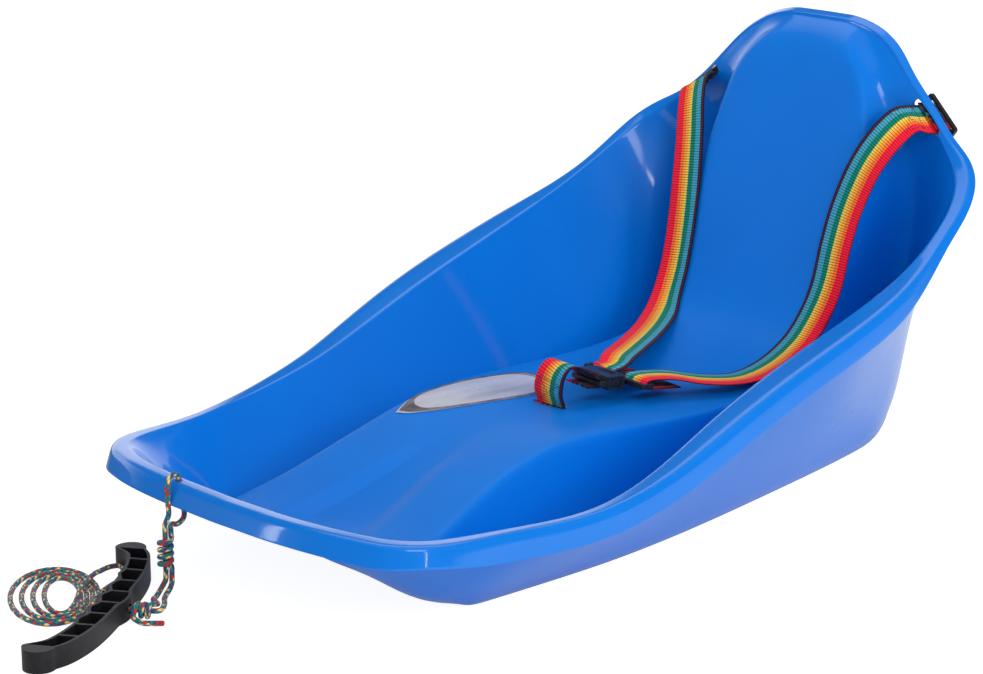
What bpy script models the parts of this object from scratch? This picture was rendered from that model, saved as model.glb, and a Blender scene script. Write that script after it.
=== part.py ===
"""A toddler's plastic pull sled: one moulded tub with a high back, a three point webbing
harness with a side release buckle, and a tow rope with a bow shaped handle.

Metres, +Z up.  The front faces -Y, so the rider's left is +X, and the runners stand on Z = 0.
The origin is under the middle of everything that lies there, the tow handle included.
"""
import bmesh
import bpy
from math import atan2, cos, hypot, pi, radians, sin
from mathutils import Matrix, Vector
from mathutils.bvhtree import BVHTree

# Overall sizes of the tub.  The stations below are drawn in millimetres for the drawn sizes, and
# are stretched to the sizes asked for.  ORIGIN_Y is where the origin lies on the drawing.
SLED_LENGTH = 0.740
SLED_WIDTH = 0.436
SLED_HEIGHT = 0.380
DRAWN_LENGTH = 0.740
DRAWN_WIDTH = 0.436
DRAWN_HEIGHT = 0.380
ORIGIN_Y = 260

# Tub
WALL = 0.003
FLANGE = 0.012
SKIRT_FLARE = 0.003
CLEARANCE = 0.0003
THROUGH = 0.03

# Webbing, its slots and its stoppers
WEB_WIDTH = 0.032
WEB_THICKNESS = 0.0016
WEB_PLAY = 0.0012
SLOT_PLAY = 0.0024
LAYER_GAP = 0.0007
GLIDE_BAR = 0.0035
GLIDE_THICKNESS = 0.0036

# Buckle
BUCKLE_WALL = 0.0022
BUCKLE_THICKNESS = 0.0110
BUCKLE_LENGTH = 0.030
PLUG_PLATE = 0.0040

# Rope and handle
ROPE = 0.0042
ROPE_HOLE = 0.0058
KNOT_TURNS = 4
HITCH_TURNS = 2.25
COIL_TURNS = 4
HANDLE_LENGTH = 0.226
HANDLE_GRIP = 0.019
HANDLE_HEIGHT = 0.017
HANDLE_WALL = 0.0026
HANDLE_BOW = 0.0215
HANDLE_BORE = 0.0080

MM = 0.001
UP = Vector((0, 0, 1))

BLUE = ("sled_blue", (0.008, 0.16, 0.74, 1), 0.28)
BLACK = ("black_nylon", (0.012, 0.012, 0.014, 1), 0.45)
WEB = ("striped_webbing", (0.55, 0.16, 0.05, 1), 0.8)
LABEL = ("silver_label", (0.55, 0.56, 0.58, 1), 0.35)
CORD = ("braided_rope", (0.03, 0.17, 0.24, 1), 0.75)
GRIP = ("black_handle", (0.016, 0.016, 0.018, 1), 0.5)


def at(x, y, z):
    """A point drawn in millimetres from the front edge, stretched to the sled's overall sizes."""
    return Vector((x * MM * SLED_WIDTH / DRAWN_WIDTH,
                   (y - ORIGIN_Y) * MM * SLED_LENGTH / DRAWN_LENGTH,
                   z * MM * SLED_HEIGHT / DRAWN_HEIGHT))


# One row for each section of the tub, from the front edge along the floor and up the back to
# the top edge: the middle of the panel (y, z), its edge, the inner and the outer side of the
# gutter beside it, the ridge of the rim (x, y, z), the lean of the rim in degrees and the
# height of its skirt.
STATIONS = (
    ((0, 84), (58, 1, 85), (84, 3, 86), (110, 8, 86), (150, 25, 84), 0, 21),
    ((6, 72), (60, 7, 73), (86, 9, 74), (112, 14, 74), (167, 42, 82.5), 0, 21),
    ((28, 50), (76, 30, 51), (98, 33, 51), (121, 41, 53), (177, 68, 80.5), 0, 21),
    ((60, 37), (94, 62, 40), (107, 64, 32), (130, 70, 31), (183, 97, 79), 0, 21),
    ((98, 39), (104, 98, 42), (112, 100, 14), (132, 102, 12), (190, 128, 78), 0, 21),
    ((135, 48), (98, 135, 50), (110, 135, 3), (134, 135, 3), (198, 158, 78), 0, 21),
    ((175, 61), (91, 175, 65), (107, 175, 3), (136, 175, 3), (203, 192, 80), 0, 22),
    ((220, 74), (87, 220, 79), (106, 220, 3), (138, 220, 3), (203, 230, 87), 0, 22),
    ((270, 83), (89, 270, 89), (108, 270, 3), (138, 270, 3), (200, 272, 98), 0, 24),
    ((330, 81), (99, 330, 88), (110, 330, 3), (134, 330, 3), (198, 331, 122), 0, 26),
    ((395, 77), (106, 395, 84), (112, 395, 3), (129, 395, 3), (200, 396, 145), 0, 27),
    ((460, 76), (107, 460, 80.5), (110, 465, 3), (122, 468, 3), (203, 462, 164), 0, 28),
    ((525, 80), (100, 522, 82), (103, 535, 3), (115, 541, 3), (205, 522, 180), 4, 28),
    ((572, 92), (95, 568, 93), (94, 600, 3), (107, 608, 3), (203, 566, 193), 12, 14),
    ((602, 116), (93, 599, 117), (86, 660, 5), (100, 668, 6), (200, 603, 211), 22, 8),
    ((619, 152), (92, 616, 153), (83, 697, 40), (101, 695, 44), (194, 632, 229), 34, 8),
    ((630, 196), (91, 628, 196), (90, 711, 105), (113, 706, 110), (182, 655, 249), 46, 8),
    ((641, 240), (90, 639, 239), (99, 715, 170), (125, 708, 176), (168, 668, 264), 56, 8),
    ((652, 280), (87, 650, 278), (106, 704, 232), (130, 700, 238), (152, 676, 279), 64, 8),
    ((661, 313), (78, 658, 309), (102, 684, 287), (116, 686, 290), (133, 684, 298), 70, 10),
    ((668, 340), (62, 664, 334), (82, 676, 322), (94, 681, 322), (111, 689, 324), 76, 12),
    ((675, 357), (46, 671, 352), (63, 680, 344), (74, 685, 341), (96, 693, 342), 80, 12),
    ((690, 371), (36, 692, 369), (52, 695, 363), (65, 697, 357), (83, 698, 350), 84, 12),
)
RUNNER_ROWS = (5, 11)
RUNNER_COLUMNS = (3, 4)
EDGE_ROUND = 8.0
EDGE_DROP = 4.0
WALL_BULGE = 5.0
RIDGE_STEP = 10.0


def lerp(a, b, t):
    return a + (b - a) * t


def section(station):
    """The points of half a section in millimetres, from the middle out to the ridge."""
    (y, z), edge, inner, outer, ridge, lean, skirt = station
    edge, inner, outer, ridge = Vector(edge), Vector(inner), Vector(outer), Vector(ridge)
    middle = Vector((0, y, z))
    down = Vector((0, sin(radians(lean)), -cos(radians(lean))))
    inside = lerp(middle, edge, 1 - EDGE_ROUND / edge.x)
    rise = (ridge - outer).length
    wall = lerp(outer, ridge, 0.5) + Vector((min(WALL_BULGE, rise * 0.05), 0, 0))
    below = ridge + (wall - ridge).normalized() * min(RIDGE_STEP, rise * 0.2)
    return [middle, inside, edge + down * EDGE_DROP, inner, outer, wall, below, ridge]


def end_section(station):
    """A section that is itself a stretch of the rim, so its points lie evenly along it."""
    (y, z), edge, inner, outer, ridge, lean, skirt = station
    points = [Vector(p) for p in ((0, y, z), edge, inner, outer, ridge)]
    return [points[0], lerp(points[0], points[1], 0.62), points[1], points[2],
            points[3], lerp(points[3], points[4], 0.4), lerp(points[3], points[4], 0.75), points[4]]


def tub_surface():
    """The cage of the tub's inner face, with its rim turned out and down all round."""
    rows = []
    for i, station in enumerate(STATIONS):
        half = end_section(station) if i in (0, len(STATIONS) - 1) else section(station)
        left = [Vector((-p.x, p.y, p.z)) for p in reversed(half[1:])]
        rows.append([at(*p) for p in left + half])
    mesh = bmesh.new()
    grid = [[mesh.verts.new(p) for p in row] for row in rows]
    for a, b in zip(grid, grid[1:]):
        for k in range(len(a) - 1):
            mesh.faces.new((a[k], a[k + 1], b[k + 1], b[k]))
    last = len(grid) - 1
    ring = ([(v, 0) for v in grid[0]] + [(grid[i][-1], i) for i in range(1, last)]
            + [(v, last) for v in reversed(grid[last])]
            + [(grid[i][0], i) for i in range(last - 1, 0, -1)])
    flange, skirt = [], []
    count = len(ring)
    for k, (vert, i) in enumerate(ring):
        lean, height = STATIONS[i][5], STATIONS[i][6]
        up = Vector((0, -sin(radians(lean)), cos(radians(lean))))
        tangent = ring[(k + 1) % count][0].co - ring[k - 1][0].co
        out = tangent.cross(up).normalized()
        lip = vert.co + out * FLANGE
        flange.append(mesh.verts.new(lip))
        skirt.append(mesh.verts.new(lip + out * SKIRT_FLARE - up * height * MM))
    for k in range(count):
        j = (k + 1) % count
        mesh.faces.new((ring[j][0], ring[k][0], flange[k], flange[j]))
        mesh.faces.new((flange[j], flange[k], skirt[k], skirt[j]))
    crease = mesh.edges.layers.float.new("crease_edge")
    for a, b in zip(grid[RUNNER_ROWS[0]:RUNNER_ROWS[1]], grid[RUNNER_ROWS[0] + 1:RUNNER_ROWS[1] + 1]):
        for k in RUNNER_COLUMNS:
            for column in (k, len(a) - 1 - k):
                mesh.edges.get((a[column], b[column]))[crease] = 1.0
    bmesh.ops.recalc_face_normals(mesh, faces=mesh.faces)
    floor_face = min(mesh.faces, key=lambda f: (f.calc_center_median() - at(0, 300, 80)).length)
    if floor_face.normal.z < 0:
        bmesh.ops.reverse_faces(mesh, faces=mesh.faces)
    return mesh


def material(spec):
    name, colour, roughness = spec
    if name in bpy.data.materials:
        return bpy.data.materials[name]
    made = bpy.data.materials.new(name)
    made.use_nodes = True
    shader = made.node_tree.nodes["Principled BSDF"]
    shader.inputs["Base Color"].default_value = colour
    shader.inputs["Roughness"].default_value = roughness
    return made


def object_from(name, mesh, spec, smooth=True):
    """Turn a bmesh into a named object with its material."""
    data = bpy.data.meshes.new(name)
    bmesh.ops.recalc_face_normals(mesh, faces=mesh.faces)
    mesh.to_mesh(data)
    mesh.free()
    data.materials.append(material(spec))
    if smooth:
        data.shade_smooth()
        data.set_sharp_from_angle(angle=radians(35))
    made = bpy.data.objects.new(name, data)
    bpy.context.scene.collection.objects.link(made)
    return made


def cutter(name, mesh):
    made = object_from(name, mesh, BLUE, smooth=False)
    made.hide_render = True
    made.display_type = "WIRE"
    return made


def cut(target, tool):
    step = target.modifiers.new(tool.name, "BOOLEAN")
    step.operation = "DIFFERENCE"
    step.solver = "EXACT"
    step.object = tool


def frame(x_axis, y_axis, origin):
    """A placing matrix whose third axis is square to the two given."""
    x = x_axis.normalized()
    z = x.cross(y_axis).normalized()
    y = z.cross(x)
    return Matrix.Translation(origin) @ Matrix((x, y, z)).transposed().to_4x4()


def add_box(mesh, size, centre=(0, 0, 0), bevel=0.0, place=None):
    """Add a box to a bmesh, its upright edges rounded if asked."""
    made = bmesh.ops.create_cube(mesh, size=1.0)["verts"]
    bmesh.ops.scale(mesh, vec=size, verts=made)
    bmesh.ops.translate(mesh, vec=centre, verts=made)
    if bevel:
        edges = {e for v in made for e in v.link_edges
                 if abs((e.verts[0].co - e.verts[1].co).normalized().z) > 0.9}
        made = list({v for f in bmesh.ops.bevel(
            mesh, geom=list(edges), offset=bevel, segments=3, profile=0.5, affect="EDGES")["faces"]
            for v in f.verts} | {v for v in made if v.is_valid})
    if place is not None:
        bmesh.ops.transform(mesh, matrix=place, verts=made)
    return made


def smooth_path(points, step):
    """Evenly spaced points on a Catmull-Rom curve through the given ones."""
    points = [Vector(p) for p in points]
    ends = [points[0] * 2 - points[1]] + points + [points[-1] * 2 - points[-2]]
    fine = []
    for k in range(1, len(ends) - 2):
        a, b, c, d = ends[k - 1:k + 3]
        for i in range(16):
            t = i / 16
            fine.append(0.5 * (2 * b + (c - a) * t + (2 * a - 5 * b + 4 * c - d) * t * t
                               + (3 * b - a - 3 * c + d) * t ** 3))
    fine.append(points[-1])
    run = [0.0]
    for a, b in zip(fine, fine[1:]):
        run.append(run[-1] + (b - a).length)
    count = max(2, round(run[-1] / step))
    even, k = [], 0
    for i in range(count + 1):
        s = run[-1] * i / count
        while k < len(run) - 2 and run[k + 1] < s:
            k += 1
        share = (s - run[k]) / max(run[k + 1] - run[k], 1e-9)
        even.append(fine[k].lerp(fine[k + 1], min(max(share, 0), 1)))
    return even


def length_of(points):
    return sum((b - a).length for a, b in zip(points, points[1:]))


# Tub

def make_tub():
    data = bpy.data.meshes.new("sled_shell")
    cage = tub_surface()
    lowest = min(v.co.z for v in cage.verts)
    bmesh.ops.translate(cage, vec=UP * (WALL - lowest), verts=cage.verts)
    cage.to_mesh(data)
    cage.free()
    data.materials.append(material(BLUE))
    data.shade_smooth()
    tub = bpy.data.objects.new("sled_shell", data)
    bpy.context.scene.collection.objects.link(tub)
    rounding = tub.modifiers.new("rounding", "SUBSURF")
    rounding.levels = rounding.render_levels = 1
    return tub


def thicken(tub):
    wall = tub.modifiers.new("wall", "SOLIDIFY")
    wall.thickness = WALL
    wall.offset = -1
    wall.use_even_offset = True
    wall.use_quality_normals = True


def surface_tree(tub):
    """The tub's surface as it is now, as a tree that tells how far a point stands off it."""
    bpy.context.view_layer.update()
    shape = tub.evaluated_get(bpy.context.evaluated_depsgraph_get()).to_mesh()
    return BVHTree.FromPolygons([v.co.copy() for v in shape.vertices],
                                [tuple(p.vertices) for p in shape.polygons])


def stand_off(tree, point, gap):
    """Move a point out along the wall's normal until it stands the gap off the wall."""
    place, normal, _, _ = tree.find_nearest(point)
    away = (point - place).dot(normal)
    return place + normal * gap if away < gap else point


def surface_under(tree, point, direction):
    place, normal, _, _ = tree.ray_cast(point, direction)
    return place, normal


# The rope's hole in the rim.  What lies loose on the ground is placed from it

ROPE_HOLE_AT = (-56, -6)


def by_hole(x, y, z):
    """A point so many millimetres from the rope's hole, drawn z above the ground."""
    hole = at(*ROPE_HOLE_AT, z)
    return Vector((hole.x + x * MM, hole.y + y * MM, hole.z))


# Webbing

SHOULDER_SLOT = (127, 680, 295)
SHOULDER_SLOT_RUN = Vector((0.745, -0.12, -0.65)).normalized()
CROTCH_SLOT = (0, 346, 80)
SEAT_GAP = 0.0006
BEND_ROOM = 0.0038
SLOT_RUN = 0.001
WEB_STEP = 0.0075
SHOULDER_TAIL = ((0.010, 0.0004), (0.022, 0.0006), (0.034, 0.0008))


def webbing(name, centres, across, tree=None, keep=None):
    """A flat band through its points; across gives a direction of its width at each."""
    mesh = bmesh.new()
    rings = []
    for i, (c, w) in enumerate(zip(centres, across)):
        ahead = (centres[min(i + 1, len(centres) - 1)] - centres[max(i - 1, 0)]).normalized()
        n = w.cross(ahead).normalized()
        w = ahead.cross(n).normalized()
        held = keep and keep(c)
        low, high = [], []
        for s in (-0.5, 0.0, 0.5):
            p = c + w * WEB_WIDTH * s
            if tree and not held:
                p = stand_off(tree, p, WEB_THICKNESS / 2 + WEB_PLAY)
            low.append(mesh.verts.new(p - n * WEB_THICKNESS / 2))
            high.append(mesh.verts.new(p + n * WEB_THICKNESS / 2))
        rings.append(low + high[::-1])
    for a, b in zip(rings, rings[1:]):
        for k in range(6):
            mesh.faces.new((a[k], a[(k + 1) % 6], b[(k + 1) % 6], b[k]))
    for ring in (rings[0], rings[-1]):
        mesh.faces.new((ring[0], ring[1], ring[4], ring[5]))
        mesh.faces.new((ring[1], ring[2], ring[3], ring[4]))
    object_from(name, mesh, WEB, smooth=False)


def free_stretch(points, across, step):
    """Even points along a drawn stretch, with the width's direction carried along."""
    centres = smooth_path(points, step)
    knots = [Vector(p) for p in points]
    share = [Vector(a) for a in across]
    widths = []
    for c in centres:
        k = min(range(len(knots) - 1), key=lambda j: segment_gap(c, knots[j], knots[j + 1]))
        widths.append(share[k].lerp(share[k + 1], along(c, knots[k], knots[k + 1])).normalized())
    return centres, widths


def round_bar(centre, ahead, up, half_wide, half_high, begin, finish, steps=6):
    """Points of webbing bent round a bar's section, from one angle to another in degrees."""
    radius = hypot(half_wide, half_high) + WEB_THICKNESS / 2 + CLEARANCE * 1.5
    points = []
    for k in range(steps + 1):
        angle = radians(lerp(begin, finish, k / steps))
        points.append(centre + (ahead * cos(angle) + up * sin(angle)) * radius)
    return points


def segment_gap(p, a, b):
    t = along(p, a, b)
    return (p - a.lerp(b, t)).length


def along(p, a, b):
    d = b - a
    return min(max((p - a).dot(d) / max(d.length_squared, 1e-12), 0), 1)


def slot_tool(name, origin, run, normal, length, width, depth):
    """A slot cutter with round ends, cutting along the normal."""
    mesh = bmesh.new()
    add_box(mesh, (length, width, depth), bevel=width * 0.45)
    bmesh.ops.transform(mesh, matrix=frame(run, normal.cross(run), origin), verts=mesh.verts)
    return cutter(name, mesh)


def glide_size():
    """Length, width and gap of a three bar slide."""
    gap = WEB_THICKNESS * 2 + SLOT_PLAY
    return WEB_WIDTH + 2 * (GLIDE_BAR + SLOT_PLAY), 3 * GLIDE_BAR + 2 * gap, gap


def seat_behind(wall_tree, slot, run, normal):
    """Where a slide's middle lies when it is pulled up against the back of the wall at a slot.

    The rays come from behind, so that the rim's skirt counts where it is in the way."""
    length, width, _ = glide_size()
    across = normal.cross(run)
    deepest = WALL + BEND_ROOM
    for i in range(-12, 13):
        for k in range(-6, 7):
            start = slot + run * length * i / 24 + across * width * k / 12 - normal * THROUGH
            place, _, _, far = wall_tree.ray_cast(start, normal, THROUGH * 2)
            if place:
                deepest = max(deepest, THROUGH - far + SEAT_GAP)
    return slot - normal * (deepest + GLIDE_THICKNESS / 2)


def glide(name, origin, run, normal):
    """A three bar slide that stops the webbing behind its slot."""
    outer_x, outer_y, gap = glide_size()
    place = frame(run, normal.cross(run), origin)
    mesh = bmesh.new()
    add_box(mesh, (outer_x, outer_y, GLIDE_THICKNESS), bevel=0.003)
    bmesh.ops.transform(mesh, matrix=place, verts=mesh.verts)
    made = object_from(name, mesh, BLACK)
    for side in (-1, 1):
        tool = bmesh.new()
        shift = side * (GLIDE_BAR + gap) / 2
        add_box(tool, (WEB_WIDTH + SLOT_PLAY, gap, GLIDE_THICKNESS * 3), (0, shift, 0))
        bmesh.ops.transform(tool, matrix=place, verts=tool.verts)
        cut(made, cutter(name + "_gap_" + ("a" if side < 0 else "b"), tool))
    return made


# Buckle, in its own frame: x across, y from the crotch strap to the shoulder straps

BUCKLE_AT = (16, 405, 96)
BUCKLE_WIDTH = WEB_WIDTH + 0.008
BUCKLE_BAR = 0.0034
BUCKLE_SLOT = 0.0062
HOUSING_BAR = 0.0040
MOUTH_Y = 0.0
FRONT_Y = MOUTH_Y - BUCKLE_LENGTH
CAVITY_FRONT = FRONT_Y + BUCKLE_BAR + BUCKLE_SLOT + 0.0030
PLATE_START = MOUTH_Y + CLEARANCE
PLATE_SLOT_START = PLATE_START + 0.0040
PLATE_SLOT_END = PLATE_SLOT_START + 0.0060
PLATE_END = PLATE_SLOT_END + BUCKLE_BAR
LOOP_SPACING = WEB_WIDTH + 0.008


def buckle_frame():
    run = Vector((0.990, -0.140, 0.0)).normalized()
    ahead = Vector((0.135, 0.975, -0.10)).normalized()
    return frame(run, ahead, at(*BUCKLE_AT))


def make_buckle(place):
    body = bmesh.new()
    add_box(body, (BUCKLE_WIDTH, BUCKLE_LENGTH, BUCKLE_THICKNESS),
            (0, (MOUTH_Y + FRONT_Y) / 2, 0), bevel=0.004)
    bmesh.ops.transform(body, matrix=place, verts=body.verts)
    female = object_from("buckle_housing", body, BLACK)
    tools = {
        "housing_mouth": ((BUCKLE_WIDTH - 2 * BUCKLE_WALL * 1.6, MOUTH_Y - CAVITY_FRONT + 0.004,
                           BUCKLE_THICKNESS - 2 * BUCKLE_WALL),
                          (0, (CAVITY_FRONT + MOUTH_Y + 0.004) / 2, 0)),
        "housing_windows": ((BUCKLE_WIDTH * 2, 0.0100, BUCKLE_THICKNESS - 2 * BUCKLE_WALL - 0.0002),
                            (0, MOUTH_Y - 0.0110, 0)),
        "housing_slot": ((WEB_WIDTH + SLOT_PLAY, BUCKLE_SLOT, BUCKLE_THICKNESS * 2),
                         (0, FRONT_Y + BUCKLE_BAR + BUCKLE_SLOT / 2, 0)),
        "housing_step": ((BUCKLE_WIDTH * 2, BUCKLE_BAR + BUCKLE_SLOT + 0.0020, BUCKLE_THICKNESS),
                         (0, FRONT_Y + (BUCKLE_BAR + BUCKLE_SLOT) / 2 - 0.0012,
                          (BUCKLE_THICKNESS + HOUSING_BAR) / 2)),
        "housing_step_below": ((BUCKLE_WIDTH * 2, BUCKLE_BAR + BUCKLE_SLOT + 0.0020, BUCKLE_THICKNESS),
                               (0, FRONT_Y + (BUCKLE_BAR + BUCKLE_SLOT) / 2 - 0.0012,
                                -(BUCKLE_THICKNESS + HOUSING_BAR) / 2)),
    }
    for name, (size, centre) in tools.items():
        tool = bmesh.new()
        add_box(tool, size, centre, place=place)
        cut(female, cutter(name, tool))

    plate = bmesh.new()
    plate_width = LOOP_SPACING + WEB_WIDTH + SLOT_PLAY + 2 * BUCKLE_BAR
    add_box(plate, (plate_width, PLATE_END - PLATE_START, PLUG_PLATE),
            (0, (PLATE_START + PLATE_END) / 2, 0), bevel=0.0028, place=place)
    plug = object_from("buckle_plug", plate, BLACK)
    tongue = bmesh.new()
    tongue_length = -CAVITY_FRONT - 0.0030
    add_box(tongue, (0.0090, tongue_length + 0.002, 0.0034),
            (0, -tongue_length / 2 + 0.001, 0), place=place)
    guide = cutter("plug_tongue", tongue)
    join = plug.modifiers.new("tongue", "BOOLEAN")
    join.operation = "UNION"
    join.solver = "EXACT"
    join.object = guide
    for side in (-1, 1):
        tool = bmesh.new()
        add_box(tool, (WEB_WIDTH + SLOT_PLAY, PLATE_SLOT_END - PLATE_SLOT_START, PLUG_PLATE * 3),
                (side * LOOP_SPACING / 2, (PLATE_SLOT_START + PLATE_SLOT_END) / 2, 0), place=place)
        cut(plug, cutter("plug_slot_" + ("left" if side > 0 else "right"), tool))

    for side, name in ((1, "release_prong_left"), (-1, "release_prong_right")):
        make_prong(name, side, place)


PRONG_ROOT_X = 0.0105
PRONG_WIDTH = 0.0030


def make_prong(name, side, place):
    """A springy arm with a thumb pad that fills the housing's side window."""
    reach = BUCKLE_WIDTH / 2 - 0.0004
    inner = PRONG_ROOT_X - PRONG_WIDTH / 2
    outer = PRONG_ROOT_X + PRONG_WIDTH / 2
    window_back = MOUTH_Y - 0.0060 - CLEARANCE
    window_front = MOUTH_Y - 0.0160 + CLEARANCE
    profile = [(inner, -CLEARANCE), (inner + 0.0010, window_back),
               (reach - 0.0042, window_front + 0.0010), (reach - 0.0030, window_front),
               (reach, window_front + 0.0028), (reach, window_back),
               (outer + 0.0010, window_back + 0.0001), (outer, -CLEARANCE)]
    half = (BUCKLE_THICKNESS - 2 * BUCKLE_WALL) / 2 - 0.0005
    mesh = bmesh.new()
    low = [mesh.verts.new(place @ Vector((side * x, y, -half))) for x, y in profile]
    high = [mesh.verts.new(place @ Vector((side * x, y, half))) for x, y in profile]
    count = len(profile)
    mesh.faces.new(low)
    mesh.faces.new(high)
    for k in range(count):
        mesh.faces.new((low[k], low[(k + 1) % count], high[(k + 1) % count], high[k]))
    object_from(name, mesh, BLACK)


def anchor_loop(slot, normal, bar, lead):
    """Webbing from its sewn end through a slot, round a bar behind it and back out.

    slot is the middle of the slot on the face in front, normal points out of that face and
    lead is the way along the face in which both layers leave."""
    layer = WEB_THICKNESS / 2 + LAYER_GAP
    inside, outside = -normal * (WALL + SLOT_RUN), normal * SLOT_RUN
    turn = round_bar(bar, lead, -normal, GLIDE_BAR / 2, GLIDE_THICKNESS / 2, 180, 0, steps=6)
    back = [slot - lead * layer + outside, slot - lead * layer + inside]
    out = [slot + lead * layer + inside, slot + lead * layer + outside]
    return [*back, *turn, *out]


def slot_frame(tree, middle, run, side):
    """The middle of a slot on the inner face, its run and the face's normal there."""
    run = Vector((run.x, run.y * side, run.z * side)).normalized()
    place, normal, _, _ = tree.find_nearest(middle)
    normal = (normal - run * normal.dot(run)).normalized()
    return place, run, normal


def make_straps(tree, place, anchors):
    bar_y = PLATE_SLOT_END + BUCKLE_BAR / 2
    ahead = place.to_3x3() @ Vector((0, 1, 0))
    up = place.to_3x3() @ Vector((0, 0, 1))
    wide = place.to_3x3() @ Vector((1, 0, 0))

    def near(x, y, z):
        """A point so many millimetres from the buckle's middle."""
        return place.translation + Vector((x, y, z)) * MM

    for side, name in ((1, "shoulder_strap_left"), (-1, "shoulder_strap_right")):
        slot, run, normal, bar = anchors[name]
        lead = run.cross(normal) * side
        if lead.z > 0:
            lead = -lead
        anchored = anchor_loop(slot, normal, bar, lead)
        if run.x < 0:
            run = -run
        if side > 0:
            route = [at(121, 662, 296), at(111, 648, 281), at(97, 638, 254), at(85, 630, 217),
                     at(80, 622, 182), at(79, 612, 147), at(76, 596, 117), at(76, 568, 99),
                     at(80, 532, 91), at(80, 495, 89), near(51, 59, -4), near(33, 36, 1)]
            widths = [(0.86, 0.1, -0.44), (0.92, 0.1, -0.35), (0.97, 0.1, -0.2), (1, 0.1, -0.05),
                      (1, 0.1, 0), (1, 0.1, 0), (1, 0.08, 0), (1, 0, 0), (0.97, -0.15, 0),
                      (0.85, -0.5, 0), (0.80, -0.60, 0), (0.90, -0.42, 0)]
        else:
            route = [at(-121, 662, 296), at(-113, 649, 279), at(-106, 640, 252), at(-101, 631, 215),
                     at(-97, 622, 178), at(-93, 610, 142), at(-86, 590, 112), at(-70, 558, 100),
                     at(-46, 514, 99), near(-38, 63, 5), near(-25, 37, 6)]
            widths = [(0.86, 0.1, 0.44), (0.9, 0.06, 0.38), (0.97, 0.05, 0.2), (1, 0.08, 0.06),
                      (1, 0.1, 0), (1, 0.12, 0), (0.97, 0.25, 0), (0.86, 0.5, 0),
                      (0.86, 0.48, 0), (0.92, 0.35, 0), (0.98, 0.1, 0)]
        centre = place @ Vector((side * LOOP_SPACING / 2, bar_y, 0))
        wrap = round_bar(centre, ahead, up, BUCKLE_BAR / 2, PLUG_PLATE / 2, 75, 285, steps=7)
        leaves = anchored.pop()
        first = leaves + (route[0] - leaves).normalized() * 0.006 + normal * SLOT_RUN
        centres, across = free_stretch([leaves, first, *route, wrap[0] + ahead * 0.006 + up * 0.0008],
                                       [run, run, *widths, wide], WEB_STEP)
        tail = [wrap[-1] + ahead * reach - up * drop for reach, drop in SHOULDER_TAIL]
        points = [*anchored, *centres, *wrap, *tail]
        across = [run] * len(anchored) + across + [wide] * (len(wrap) + len(tail))
        keep = bounded_keep((bar, 0.020), (centre, 0.030))
        webbing(name, points, across, tree, keep)

    slot, run, normal, bar = anchors["crotch_strap"]
    lead = Vector((0, 1, 0))
    anchored = anchor_loop(slot, normal, bar, lead)
    leaves = anchored.pop()
    centre = place @ Vector((0, FRONT_Y + BUCKLE_BAR / 2, 0))
    wrap = round_bar(centre, -ahead, up, BUCKLE_BAR / 2, HOUSING_BAR / 2, 75, 285, steps=7)
    drawn = [leaves, slot + Vector((0.001, -0.003, 0.014)), slot + Vector((0.004, -0.001, 0.029)),
             slot + Vector((0.008, 0.008, 0.036)), wrap[0] - ahead * 0.005 + up * 0.0045]
    centres, across = free_stretch(drawn, [run, run, run.lerp(wide, 0.3), run.lerp(wide, 0.7), wide],
                                   0.0060)
    tail = [wrap[-1] - ahead * 0.008 + up * 0.0002]
    points = [*anchored, *centres, *wrap, *tail]
    across = [run] * len(anchored) + across + [wide] * (len(wrap) + len(tail))
    webbing("crotch_strap", points, across)


def bounded_keep(*places):
    """Near its slots and bars the webbing keeps its drawn place."""
    return lambda p: any((p - c).length < reach for c, reach in places)


# Label on the floor

LABEL_LIFT = 0.0014
LABEL_THICKNESS = 0.0006
LABEL_OUTLINE = ((-73, 240), (-86, 275), (-87, 310), (-82, 345), (-68, 366), (-40, 366),
                 (-28, 350), (-32, 310), (-45, 268), (-62, 245))


def make_label(tree):
    mesh = bmesh.new()
    corners = [at(x, y, 0) for x, y in LABEL_OUTLINE]
    outline = smooth_path([*corners, corners[0]], 0.010)[:-1]
    centre = sum(outline, Vector()) / len(outline)
    rings = [[centre]] + [[centre.lerp(p, s) for p in outline] for s in (0.34, 0.67, 1.0)]
    layers = []
    for height in (LABEL_LIFT, LABEL_LIFT + LABEL_THICKNESS):
        layer = []
        for ring in rings:
            lifted = []
            for p in ring:
                place, normal = surface_under(tree, Vector((p.x, p.y, SLED_HEIGHT)), -UP)
                lifted.append(mesh.verts.new(place + UP * height))
            layer.append(lifted)
        layers.append(layer)
    count = len(outline)
    for layer in layers:
        for k in range(count):
            mesh.faces.new((layer[0][0], layer[1][k], layer[1][(k + 1) % count]))
        for a, b in zip(layer[1:], layer[2:]):
            for k in range(count):
                mesh.faces.new((a[k], b[k], b[(k + 1) % count], a[(k + 1) % count]))
    for k in range(count):
        j = (k + 1) % count
        mesh.faces.new((layers[0][-1][k], layers[1][-1][k], layers[1][-1][j], layers[0][-1][j]))
    object_from("floor_label", mesh, LABEL, smooth=False)


# Tow handle, in its own frame: p along the grip, q out to the bowed side

HANDLE_MIDDLE = (1.0, -92.5)
HANDLE_CURL = 0.006
HANDLE_RUN = Vector((0.556, -0.831, 0))
HANDLE_OUT = Vector((0.831, 0.556, 0))
FINGER_PITCH = 0.024
FINGER_DEPTH = 0.0018
HUB_BUMP = 0.0035
HUB_HALF = 0.016
HUB_BORE_Z = 0.0080
HANDLE_BAYS = 9
PLAY_Z = 0.0004


def handle_frame():
    return frame(HANDLE_RUN, HANDLE_OUT, by_hole(*HANDLE_MIDDLE, 0) + UP * PLAY_Z)


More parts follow.
